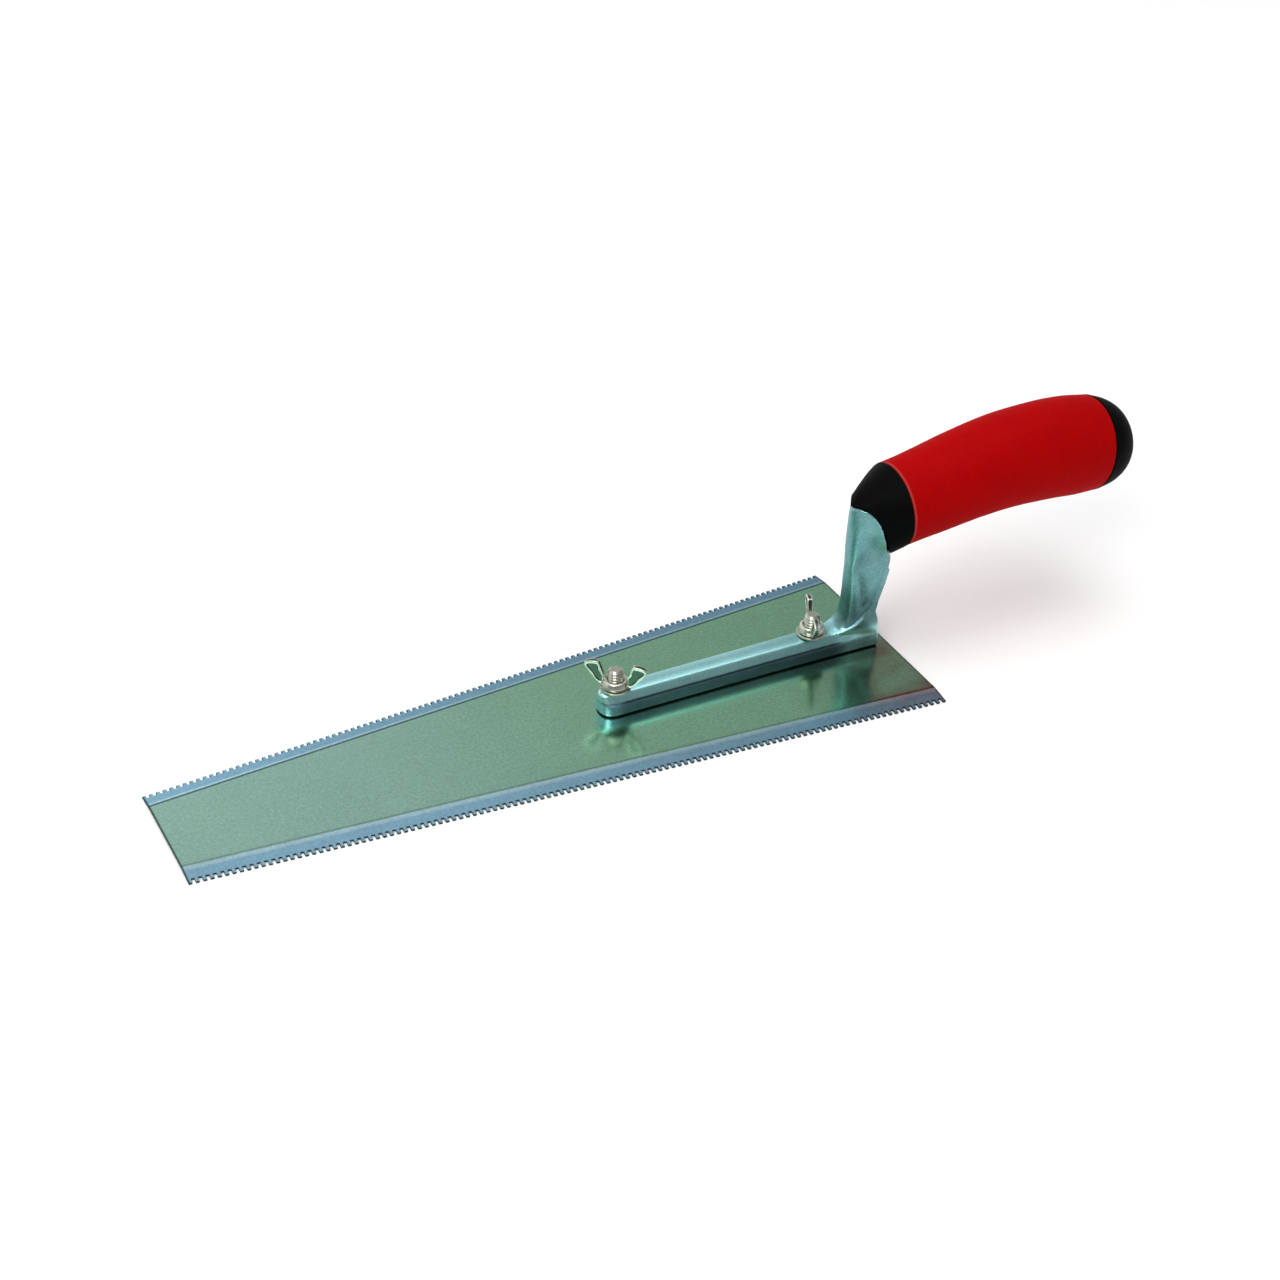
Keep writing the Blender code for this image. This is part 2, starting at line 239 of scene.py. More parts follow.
class Dye(Graph):
    """The node tree of one material, with the patterns that the finishes share."""

    def __init__(self, name: str) -> None:
        """Start a material with one Principled shader.

        Args:
            name: Material name.
        """
        self.material = bpy.data.materials.new(name)
        self.material.use_nodes = True
        super().__init__(self.material.node_tree)
        self.shader = self.tree.nodes["Principled BSDF"]
        self.where = self.field("ShaderNodeTexCoord", output="Object")

    def stretched(self, scale: Triple) -> Field:
        """Return Object coordinates multiplied by a scale."""
        return self.field("ShaderNodeMapping", None, {"Vector": self.where, "Scale": scale})

    def noise(self, scale: float, detail: float = 3.0, roughness: float = 0.5,
              vector: Optional[Field] = None) -> Field:
        """Add a noise pattern.

        Args:
            scale: Cells per metre.
            detail: Octaves.
            roughness: Weight of the finer octaves.
            vector: Coordinates, else Object coordinates.

        Returns:
            The noise, about 0 to 1.
        """
        return self.field("ShaderNodeTexNoise", None, {
            "Vector": vector or self.where, "Scale": scale,
            "Detail": detail, "Roughness": roughness,
        })

    def mark(self, name: str) -> Field:
        """Return a value stored on the mesh under a name."""
        return self.field("ShaderNodeAttribute", {"attribute_name": name}, output="Fac")

    def cells(self, scale: float) -> Field:
        """Return the distance to the nearest point of a random cell pattern."""
        return self.field("ShaderNodeTexVoronoi", None, {"Vector": self.where, "Scale": scale})

    def mix(self, share: Number, first: Any, second: Any) -> Field:
        """Blend two colours.

        Args:
            share: Weight of the second.
            first: Colour at 0.
            second: Colour at 1.

        Returns:
            The blended colour.
        """
        settings = {"data_type": "RGBA", "clamp_factor": True}
        return self.field("ShaderNodeMix", settings, {0: share, 6: first, 7: second}, 2)

    def scaled(self, colour: Field, factor: Field) -> Field:
        """Return a colour multiplied by a value."""
        inputs = {0: colour, "Scale": factor}
        return self.field("ShaderNodeVectorMath", {"operation": "SCALE"}, inputs)

    def bump(self, height: Field, strength: float, distance: float) -> Field:
        """Return a bumped normal.

        Args:
            height: The height pattern.
            strength: Weight of the bump.
            distance: Height of the pattern in metres.

        Returns:
            The normal.
        """
        inputs = {"Height": height, "Strength": strength, "Distance": distance}
        return self.field("ShaderNodeBump", None, inputs)

    def dress(self, **sockets: Any) -> Material:
        """Set the shader's sockets.

        Args:
            sockets: Values by socket name, with underscores for spaces.

        Returns:
            The finished material.
        """
        for key, value in sockets.items():
            self.feed(self.shader.inputs[key.replace("_", " ")], value)
        return self.material


# Finishes

@dataclass(frozen=True)
class SatinSteel:
    """Rolled spring steel: fine grain along the length, cooler bent edges as a painted reflection,
    painted light and shade on the flanges and folds, painted shade on the cut edges, tarnish near
    the heel.
    """

    face: Colour = (0.39, 0.665, 0.555)
    waist: Colour = (0.33, 0.63, 0.43)
    # Cooler colour of the bent flanges, a painted reflection.
    edge: Colour = (0.25, 0.45, 0.58)
    # Tarnish near the heel, which also paints a dark reflection.
    heel: Colour = (0.22, 0.16, 0.12)
    fold_highlight_colour: Colour = (0.6, 0.8, 0.82)
    painted_dark_shade: Colour = (0.035, 0.07, 0.08)
    glancing: Colour = (0.3, 0.3, 0.3)
    edge_shade_band: float = 0.0008
    grain_stretch: Triple = (60.0, 2600.0, 900.0)
    scuff_scale: float = 38.0
    fine_scale: float = 2400.0
    speck_scale: float = 900.0
    roughness: float = 0.19
    bump: float = 0.05
    relief: float = 0.00008
    fold_half_heel: float = 0.0425
    fold_half_toe: float = 0.0191

    def make(self, name: str, heel_x: float, length: float) -> Material:
        """Make the blade's material.

        Args:
            name: Material name.
            heel_x: Place of the heel edge along X.
            length: Length of the blade.

        Returns:
            The material.
        """
        dye = Dye(name)
        x, y, _ = dye.axes(dye.where)
        along = (heel_x - x) / length
        fold = along * (self.fold_half_toe - self.fold_half_heel) + self.fold_half_heel
        beyond = y.math("ABSOLUTE") - fold
        flange = beyond.ease(-0.0004, 0.0006)
        far = y.span(-0.001, 0.001)
        near = 1.0 - far
        # Each fold has a painted dark line on its inner side and a painted highlight on its outer
        # side.
        fold_shade = far * beyond.span(-0.0006, -0.0001) * beyond.span(0.0008, 0.0003)
        fold_shade = fold_shade + near * 0.45 * beyond.span(-0.0011, -0.0006) * beyond.span(0.0, -0.0004)
        lip = far * beyond.span(0.0006, 0.0011) * beyond.span(0.0022, 0.0014)
        lip = lip + near * beyond.span(-0.0002, 0.0004) * beyond.span(0.0026, 0.001)
        grain = dye.noise(1.0, 4.0, 0.65, dye.stretched(self.grain_stretch))
        scuff = dye.noise(self.scuff_scale, 5.0, 0.62)
        fine = dye.noise(self.fine_scale, 2.0, 0.5)
        # Tarnish lies near the heel, on the near half; it also paints a dark reflection there.
        tarnish_and_reflection = along.ease(0.2, 0.0) * scuff.span(0.2, 0.65)
        tarnish_and_reflection = tarnish_and_reflection * y.ease(0.012, -0.012)
        # Painted reflection: the blade is darker and greener towards the heel.
        colour = dye.mix(along.ease(0.75, 0.35), self.face, self.waist)
        colour = dye.mix(tarnish_and_reflection * 0.95, colour, self.heel)
        # Painted reflection: the bent flanges are cooler.
        colour = dye.mix(flange, colour, self.edge)
        # Painted light and shade: the far flange is lighter towards the toe, the near flange darker
        # towards the heel.
        edge_tone = far * along.span(0.4, 0.95, 0.0, 0.32) - near * along.span(0.6, 0.05, 0.0, 0.2)
        # Painted highlights on the fold lips, painted shade in the fold lines.
        colour = dye.mix(lip * 0.6, colour, self.fold_highlight_colour)
        colour = dye.mix(fold_shade * 0.85, colour, self.painted_dark_shade)
        speck = dye.noise(self.speck_scale, 3.0, 0.7)
        shade = grain * 0.16 + scuff * 0.12 + (speck - 0.5) * 0.8 + 0.86
        colour = dye.scaled(colour, shade * (edge_tone * flange + 1.0))
        # Painted shade: the cut faces and a thin band along the heel and toe edges are painted
        # dark.
        edge_shade_band = along.span(1.0 - self.edge_shade_band / length, 1.0 - 0.5 * self.edge_shade_band / length)
        edge_shade_band = edge_shade_band + along.span(self.edge_shade_band / length, 0.5 * self.edge_shade_band / length)
        colour = dye.mix(dye.mark("cut") + edge_shade_band * 0.8, colour, self.painted_dark_shade)
        rough = self.roughness + (grain - 0.5) * 0.12 + (scuff - 0.5) * 0.14 + flange * 0.16
        return dye.dress(
            Base_Color=colour, Roughness=rough, Metallic=1.0, Specular_Tint=self.glancing,
            Normal=dye.bump(grain * 0.7 + fine * 0.3, self.bump, self.relief),
        )


@dataclass(frozen=True)
class CastAluminium:
    """Tumbled die casting: mottled grey, fine pits, brighter rubbed high spots that are partly
    painted highlights, a painted crown highlight and painted shade on the walls, in the hollows and
    at the foot.
    """

    tint: Colour = (0.27, 0.52, 0.53)
    shadow: Colour = (0.11, 0.3, 0.32)
    rubbed_highlight: Colour = (0.6, 0.85, 0.88)
    painted_crown_highlight: Colour = (0.48, 0.92, 0.94)
    painted_wall_shade: Colour = (0.2, 0.27, 0.43)
    # Top of the painted contact shadow at the foot.
    foot: float = 0.0027
    edge: float = 0.0079
    step: float = 0.0006
    shank: float = 0.074
    blend: float = 0.004
    mottle_scale: float = 190.0
    skin_scale: float = 1300.0
    pit_scale: float = 1100.0
    roughness: float = 0.34
    bump: float = 0.6
    relief: float = 0.00014

    def make(self, name: str) -> Material:
        """Make the casting's material.

        Args:
            name: Material name.

        Returns:
            The material.
        """
        dye = Dye(name)
        mottle = dye.noise(self.mottle_scale, 5.0, 0.6)
        skin = dye.noise(self.skin_scale, 4.0, 0.65)
        pits = dye.cells(self.pit_scale).span(0.05, 0.3)
        bend = dye.mark("edge")
        edge_tone = bend.ease(0.012, 0.06) * skin.span(0.2, 0.6)
        hollow = bend.ease(-0.008, -0.05)
        cloud = mottle.span(0.3, 0.7) * 0.4 + skin.span(0.35, 0.65) * 0.6
        colour = dye.mix(cloud, self.shadow, self.tint)
        x, _, z = dye.axes(dye.where)
        # A painted highlight lies on the beam above its shoulders, weaker towards the shank.
        painted_crown_highlight = z.span(self.edge, self.edge + self.step) * z.ease(0.018, 0.0125)
        painted_crown_highlight = painted_crown_highlight * x.ease(0.02, 0.07, 1.0, 0.5)
        colour = dye.mix(painted_crown_highlight * (skin * 0.9 + 0.35), colour, self.painted_crown_highlight)
        upright = x.ease(self.shank - self.blend, self.shank + self.blend)
        # Rubbed high spots, partly wear and partly a painted highlight, weaker on the shank.
        colour = dye.mix(edge_tone * (0.6 - upright * 0.45), colour, self.rubbed_highlight)
        # Painted shade in the hollows.
        colour = dye.mix(hollow * 0.6, colour, self.shadow)
        # Painted shade: the walls below the shoulder are painted cooler and darker.
        below = z.span(self.edge, self.edge - self.step)
        nose = x.ease(-0.023, -0.029)
        colour = dye.mix(below * (0.6 - upright * 0.3), colour, self.painted_wall_shade)
        # Painted shade: a contact shadow just above the foot, a dark line along the shoulder that
        # fades at the nose, and walls darker towards the rear; the nose's walls are painted
        # lighter.
        shade = z.ease(self.foot, self.foot + self.step, 0.12, 1.0)
        shoulder_shade = z.span(self.edge - 0.0009, self.edge - 0.0004)
        shoulder_shade = shoulder_shade * z.span(self.edge + 0.0003, self.edge)
        side = below * x.span(0.0, 0.06, 0.0, 0.45)
        shade = shade * (1.0 - (1.0 - upright) * (shoulder_shade * (0.8 - nose * 0.7)).most(side))
        shade = shade * (below * nose + 1.0)
        # Painted light and shade: the shank is light at its foot, dark above it and light again at
        # the top.
        shank_light = z.ease(0.01, 0.0145, 1.0, -0.38)
        shank_light = shank_light + z.ease(0.022, 0.034, 0.0, 0.5)
        shade = shade * (upright * shank_light + 1.0)
        colour = dye.scaled(colour, shade)
        rough = self.roughness + (mottle - 0.5) * 0.16 + (skin - 0.5) * 0.12 - edge_tone * 0.08
        height = skin * 0.6 + pits * 0.4
        return dye.dress(
            Base_Color=colour, Roughness=rough, Metallic=1.0,
            Normal=dye.bump(height, self.bump, self.relief),
        )


@dataclass(frozen=True)
class ZincPlate:
    """Bright zinc on small hardware, dulled in the hollows, with painted highlights on the rims and
    painted shade in the sunk panels.
    """

    bright: Colour = (0.86, 0.87, 0.77)
    tint: Colour = (0.62, 0.63, 0.54)
    dull: Colour = (0.3, 0.33, 0.27)
    sunk: Colour = (0.085, 0.12, 0.11)
    cloud_scale: float = 420.0
    fine_scale: float = 3200.0
    roughness: float = 0.3
    bump: float = 0.06
    relief: float = 0.00005

    def make(self, name: str) -> Material:
        """Make one piece's zinc.

        Args:
            name: Material name.

        Returns:
            The material.
        """
        dye = Dye(name)
        cloud = dye.noise(self.cloud_scale, 4.0, 0.6)
        fine = dye.noise(self.fine_scale, 3.0, 0.55)
        bend = dye.mark("edge")
        hollow = bend.ease(-0.008, -0.05)
        rim = bend.ease(0.01, 0.05)
        colour = dye.mix(cloud.span(0.25, 0.75) * 0.4 + hollow * 0.6, self.tint, self.dull)
        # Painted shade in the wings' sunk panels.
        colour = dye.mix(dye.mark("panel"), colour, self.sunk)
        # Painted highlights on the rims.
        colour = dye.mix(rim, colour, self.bright)
        rough = self.roughness + (cloud - 0.5) * 0.16 + hollow * 0.15
        return dye.dress(
            Base_Color=colour, Roughness=rough, Metallic=1.0,
            Normal=dye.bump(fine, self.bump, self.relief),
        )


@dataclass(frozen=True)
class MouldedPlastic:
    """Black moulded plastic with a fine spark-eroded grain."""

    tint: Colour = (0.0022, 0.0024, 0.0027)
    chalk: Colour = (0.009, 0.0095, 0.01)
    grain_scale: float = 2600.0
    cloud_scale: float = 140.0
    roughness: float = 0.5
    specular: float = 0.03
    bump: float = 0.22
    relief: float = 0.0001

    def make(self, name: str) -> Material:
        """Make one piece's plastic.

        Args:
            name: Material name.

        Returns:
            The material.
        """
        dye = Dye(name)
        grain = dye.noise(self.grain_scale, 3.0, 0.6)
        cloud = dye.noise(self.cloud_scale, 4.0, 0.6)
        colour = dye.mix(cloud.span(0.5, 0.9) * 0.3, self.tint, self.chalk)
        rough = self.roughness + (grain - 0.5) * 0.2 + (cloud - 0.5) * 0.12
        return dye.dress(
            Base_Color=colour, Roughness=rough, Specular_IOR_Level=self.specular,
            Normal=dye.bump(grain, self.bump, self.relief),
        )


@dataclass(frozen=True)
class GripRubber:
    """Soft red rubber: pebbled grain, faint rubbed sheen, pale specks in the texture and a painted
    highlight along the front lip.
    """

    tint: Colour = (0.49, 0.002, 0.002)
    deep: Colour = (0.35, 0.001, 0.003)
    pale: Colour = (0.64, 0.008, 0.003)
    lip_highlight: Colour = (0.62, 0.14, 0.12)
    pebble_scale: float = 1250.0
    fine_scale: float = 3600.0
    cloud_scale: float = 70.0
    speck_scale: float = 1000.0
    roughness: float = 0.58
    specular: float = 0.02
    bump: float = 0.3
    relief: float = 0.00018

    def make(self, name: str) -> Material:
        """Make the grip's rubber.

        Args:
            name: Material name.

        Returns:
            The material.
        """
        dye = Dye(name)
        pebble = dye.cells(self.pebble_scale)
        fine = dye.noise(self.fine_scale, 3.0, 0.6)
        cloud = dye.noise(self.cloud_scale, 5.0, 0.6)
        speck = dye.noise(self.speck_scale, 3.0, 0.65)
        colour = dye.mix(cloud.span(0.2, 0.7) * 0.5 + 0.4, self.deep, self.tint)
        colour = dye.mix(pebble.span(0.3, 0.75) * 0.35, colour, self.deep)
        colour = dye.mix(speck.span(0.5, 0.8) * 0.3, colour, self.pale)
        # Painted highlight along the sleeve's front lip.
        colour = dye.mix(dye.mark("rim") * 0.4, colour, self.lip_highlight)
        rough = self.roughness + (fine - 0.5) * 0.16 + (cloud - 0.5) * 0.1
        height = (1.0 - pebble) * 0.7 + fine * 0.3
        return dye.dress(
            Base_Color=colour, Roughness=rough, Specular_IOR_Level=self.specular,
            Normal=dye.bump(height, self.bump, self.relief),
        )


# Mesh helpers

@dataclass(frozen=True)
class ToolFrame:
    """Places the tool's own millimetres in the shared frame.

    x runs from the heel (0) to the toe (negative), z starts on top of the blade's flat.
    """

    blade_length: float = 304.8
    total_length: float = 417.0
    sheet: float = 0.8
    flange: float = 8.3
    flange_angle: float = math.radians(8.6)

    @property
    def slope(self) -> float:
        """Fall of the flange per unit of width."""
        return math.tan(self.flange_angle)

    @property
    def shift(self) -> np.ndarray:
        """Offset from the tool's millimetres to the shared frame's."""
        butt = self.total_length - self.blade_length
        return np.array([self.total_length / 2 - butt, 0.0, self.flange * self.slope + self.sheet])

    def place(self, points: Any) -> np.ndarray:
        """Return points of the tool in metres of the shared frame."""
        return (np.asarray(points, float) + self.shift) * MM


TOOL = ToolFrame()
SEAM_NORMAL = np.array([0.78, 0.0, 0.62])
SEAM_LIFT = 1.3
SEAM_ARCH = 6.6


def seam_rise(lead: np.ndarray) -> np.ndarray:
    """Return how far the seam between shank and collar arches along the handle.

    Args:
        lead: 1 at the front of the seam, 0 at its sides and -1 at its rear.

    Returns:
        The rise in millimetres.
    """
    side = np.sqrt(np.clip(1 - lead ** 2, 0.0, 1.0))
    return side * (SEAM_LIFT + SEAM_ARCH * lead)


def add_object(name: str, data: Mesh) -> Piece:
    """Link a mesh as an object at the origin.

    Args:
        name: Object name.
        data: The mesh.

    Returns:
        The object.
    """
    made = bpy.data.objects.new(name, data)
    bpy.context.scene.collection.objects.link(made)
    return made


def settle(bm: bmesh.types.BMesh, data: Mesh) -> None:
    """Weld a bmesh, turn its faces outwards and write it to a mesh.

    Args:
        bm: The bmesh, which is freed.
        data: The mesh.
    """
    bmesh.ops.remove_doubles(bm, verts=bm.verts, dist=WELD)
    bmesh.ops.recalc_face_normals(bm, faces=bm.faces)
    bm.to_mesh(data)
    bm.free()


def from_bmesh(name: str, bm: bmesh.types.BMesh) -> Piece:
    """Turn a bmesh into an object with outward faces.

    Args:
        name: Object name.
        bm: The bmesh, which is freed.

    Returns:
        The object.
    """
    data = bpy.data.meshes.new(name)
    settle(bm, data)
    return add_object(name, data)


def skin(name: str, rings: np.ndarray, closed: bool = False) -> Piece:
    """Loft a surface through rings of points in the tool's millimetres.

    Args:
        name: Object name.
        rings: Array of ring, point and coordinate.
        closed: Whether the last ring joins the first instead of both being capped.

    Returns:
        The object.
    """
    count, points = rings.shape[:2]
    bm = bmesh.new()
    rows = [[bm.verts.new(p) for p in ring] for ring in TOOL.place(rings)]
    for i in range(count if closed else count - 1):
        low, high = rows[i], rows[(i + 1) % count]
        for j in range(points):
            k = (j + 1) % points
            bm.faces.new((low[j], low[k], high[k], high[j]))
    if not closed:
        bm.faces.new(rows[0][::-1])
        bm.faces.new(rows[-1])
    return from_bmesh(name, bm)


def block(name: str, centre: Sequence[float], width: float, height: float,
          bevel: float = 0.0) -> Piece:
    """Make a square block in the tool's millimetres.

    Args:
        name: Object name.
        centre: Its centre.
        width: Its width both ways.
        height: Its height.
        bevel: Width of its bevelled edges.

    Returns:
        The block.
    """
    bm = bmesh.new()
    bmesh.ops.create_cube(bm, size=1.0)
    size = Matrix.Diagonal((width * MM, width * MM, height * MM, 1.0))
    bm.transform(Matrix.Translation(TOOL.place(centre)) @ size)
    if bevel:
        bmesh.ops.bevel(
            bm, geom=bm.edges[:], offset=bevel * MM, segments=2, affect="EDGES", profile=0.5)
    return from_bmesh(name, bm)


def smooth_rows(rows: Any, count: int) -> np.ndarray:
    """Interpolate rows of numbers along a smooth curve.

    Args:
        rows: The rows to pass through.
        count: Number of rows wanted.

    Returns:
        The interpolated rows.
    """
    rows = np.asarray(rows, float)
    last = len(rows) - 1
    at = np.linspace(0.0, last, count)
    i = np.minimum(at.astype(int), last - 1)
    f = (at - i)[:, None]
    a, b = rows[np.maximum(i - 1, 0)], rows[i]
    c, d = rows[i + 1], rows[np.minimum(i + 2, last)]
    square, cube = 2 * a - 5 * b + 4 * c - d, 3 * b - a - 3 * c + d
    return 0.5 * (2 * b + (c - a) * f + square * f ** 2 + cube * f ** 3)


def turned(profile: Profile, start: Sequence[float], axis: Sequence[float],
           points: int) -> np.ndarray:
    """Return rings around an axis.

    Args:
        profile: Pairs of distance along the axis and radius.
        start: Start of the axis.
        axis: Its direction.
        points: Points per ring.

    Returns:
        The rings.
    """
    axis = np.asarray(axis, float) / np.linalg.norm(axis)
    side = np.array([0.0, 1.0, 0.0])
    up = np.cross(axis, side)
    angles = np.linspace(0.0, 2 * math.pi, points, endpoint=False)
    circle = np.outer(np.cos(angles), side) + np.outer(np.sin(angles), up)
    return np.array([np.asarray(start) + axis * d + circle * r for d, r in profile])


def rounded(profile: Profile, radius: float,
            steps: int = 4) -> list[tuple[float, float]]:
    """Round the corners of an open profile.

    Args:
        profile: The corner points.
        radius: Corner radius.
        steps: Points per corner.

    Returns:
        The rounded profile.
    """
    points = [np.asarray(p, float) for p in profile]
    result = [tuple(points[0])]
    for before, here, after in zip(points, points[1:], points[2:]):
        back, ahead = before - here, after - here
        reach = min(radius, np.linalg.norm(back) / 2.1, np.linalg.norm(ahead) / 2.1)
        first = here + back / np.linalg.norm(back) * reach
        second = here + ahead / np.linalg.norm(ahead) * reach
        for t in np.linspace(0.0, 1.0, steps + 1):
            result.append(tuple((1 - t) ** 2 * first + 2 * t * (1 - t) * here + t ** 2 * second))
    result.append(tuple(points[-1]))
    return result


def plain(obj: Piece) -> None:
    """Replace an object's mesh by its evaluated mesh and drop the modifiers.

    Args:
        obj: The object.
    """
    graph = bpy.context.evaluated_depsgraph_get()
    graph.update()
    data = bpy.data.meshes.new_from_object(obj.evaluated_get(graph))
    data.name = obj.name
    obj.modifiers.clear()
    obj.data = data


def combine(obj: Piece, other: Piece, operation: str) -> None:
    """Apply one exact boolean and remove the second object.

    Args:
        obj: Object that is kept.
        other: Object that is used up.
        operation: UNION or DIFFERENCE.
    """
    step = obj.modifiers.new("Combine", "BOOLEAN")
    step.operation = operation
    step.solver = "EXACT"
    step.object = other
    plain(obj)
    bpy.data.objects.remove(other)


def cast_skin(obj: Piece, voxel: float, passes: int) -> None:
    """Give a joined body one skin with soft edges and fillets.

    Args:
        obj: The object.
        voxel: Size of the remeshing cells in millimetres.
        passes: Smoothing passes.
    """
    remesh = obj.modifiers.new("Remesh", "REMESH")
    remesh.mode = "VOXEL"
    remesh.voxel_size = voxel * MM
    smooth = obj.modifiers.new("Smooth", "SMOOTH")
    smooth.factor = 0.5
    smooth.iterations = passes
    plain(obj)


def values_of(data: Mesh, name: str) -> np.ndarray:
    """Read one vector per point of a mesh.

    Args:
        data: The mesh.
        name: What is read, such as co or normal.

    Returns:
        The vectors.
    """
    values = np.empty(len(data.vertices) * 3)
    data.vertices.foreach_get(name, values)
    return values.reshape(-1, 3)


def mark_edges(obj: Piece, passes: int = 4, limit: float = 0.3) -> None:
    """Store how far each point stands out from its neighbours, for wear, dull hollows, painted
    highlights and painted shade.

    Args:
        obj: The object; its mesh is even enough that neighbours lie at like distances.
        passes: Smoothing passes over the stored value.
        limit: Largest value before smoothing.
    """
    data = obj.data
    count = len(data.vertices)
    place, normal = values_of(data, "co"), values_of(data, "normal")
    pairs = np.empty(len(data.edges) * 2, np.int32)
    data.edges.foreach_get("vertices", pairs)
    first, second = pairs[0::2], pairs[1::2]
    links = np.maximum(np.bincount(pairs, minlength=count), 1)

    def around(values: np.ndarray) -> np.ndarray:
        """Return the mean of each point's neighbours."""
        total = np.bincount(first, values[second], count)
        return (total + np.bincount(second, values[first], count)) / links

    length = np.linalg.norm(place[first] - place[second], axis=1).mean()
    middle = np.column_stack([around(place[:, axis]) for axis in range(3)])
    bend = np.clip(((place - middle) * normal).sum(1) / length, -limit, limit)
    for _ in range(passes):
        bend = 0.5 * bend + 0.5 * around(bend)
    store(data, "edge", "POINT", bend)


def store(data: Mesh, name: str, domain: str, values: np.ndarray) -> None:
    """Store one number per point or face under a name.

    Args:
        data: The mesh.
        name: Name that a material reads.
        domain: POINT or FACE.
        values: The numbers.
    """
    made = data.attributes.new(name, "FLOAT", domain)
    made.data.foreach_set("value", np.ascontiguousarray(values, np.float32))


def hand_in(obj: Piece, material: Material, body: Body, node: str,
            angle: float = 35.0) -> None:
    """Dress a finished piece and put it in a node's place.

    Args:
        obj: The piece.
        material: Its material.
        body: The body it rides on.
        node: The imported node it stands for.
        angle: Edges sharper than this stay sharp, in degrees.
    """
    obj.data.materials.clear()
    obj.data.materials.append(material)
    obj.data.polygons.foreach_set("material_index", np.zeros(len(obj.data.polygons), np.int32))
    obj.data.shade_smooth()
    obj.data.set_sharp_from_angle(angle=math.radians(angle))
    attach(obj, body.value)
    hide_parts(node)
    LOG.info("%s: %d faces on %s", obj.name, len(obj.data.polygons), body.value)


class Recipe(Graph):
    """A geometry node tree with named inputs, run once to make a plain mesh."""

    def __init__(self, name: str, inputs: dict[str, Any]) -> None:
        """Start the tree.

        Args:
            name: Name of the tree and of the object that it makes.
            inputs: Value of each named input; whole numbers make whole-number inputs.
        """
        super().__init__(bpy.data.node_groups.new(name, "GeometryNodeTree"))
        self.name = name
        self.values = inputs
        face = self.tree.interface
        for key, value in inputs.items():
            kind = "NodeSocketFloat"
            if isinstance(value, int):
                kind = "NodeSocketInt"
            elif isinstance(value, Material):
                kind = "NodeSocketMaterial"
            face.new_socket(key, in_out="INPUT", socket_type=kind)
        face.new_socket("Geometry", in_out="OUTPUT", socket_type="NodeSocketGeometry")
        self.entry = self.node("NodeGroupInput")

    def given(self, key: str) -> Field:
        """Return a named input."""
        return Field(self, self.entry.outputs[key])

    def weld(self, geometry: Any, distance: float) -> Field:
        """Return geometry with points closer than a distance merged."""
        return self.field("GeometryNodeMergeByDistance", None, {0: geometry, "Distance": distance})

    def run(self, geometry: Field) -> Piece:
        """End the tree and make its mesh.

        Args:
            geometry: What the tree has made.

        Returns:
            A plain object at the origin.
        """
        real = self.field("GeometryNodeRealizeInstances", None, {0: geometry})
        inputs = {0: real, "Material": self.given("Material")}
        self.node("NodeGroupOutput", None, {0: self.field("GeometryNodeSetMaterial", None, inputs)})
        obj = add_object(self.name, bpy.data.meshes.new(self.name))
        step = obj.modifiers.new("Recipe", "NODES")
        step.node_group = self.tree
        for item in self.tree.interface.items_tree:
            if item.in_out == "INPUT":
                step[item.identifier] = self.values[item.name]
        plain(obj)
        bm = bmesh.new()
        bm.from_mesh(obj.data)
        settle(bm, obj.data)
        return obj


# Sub-assemblies

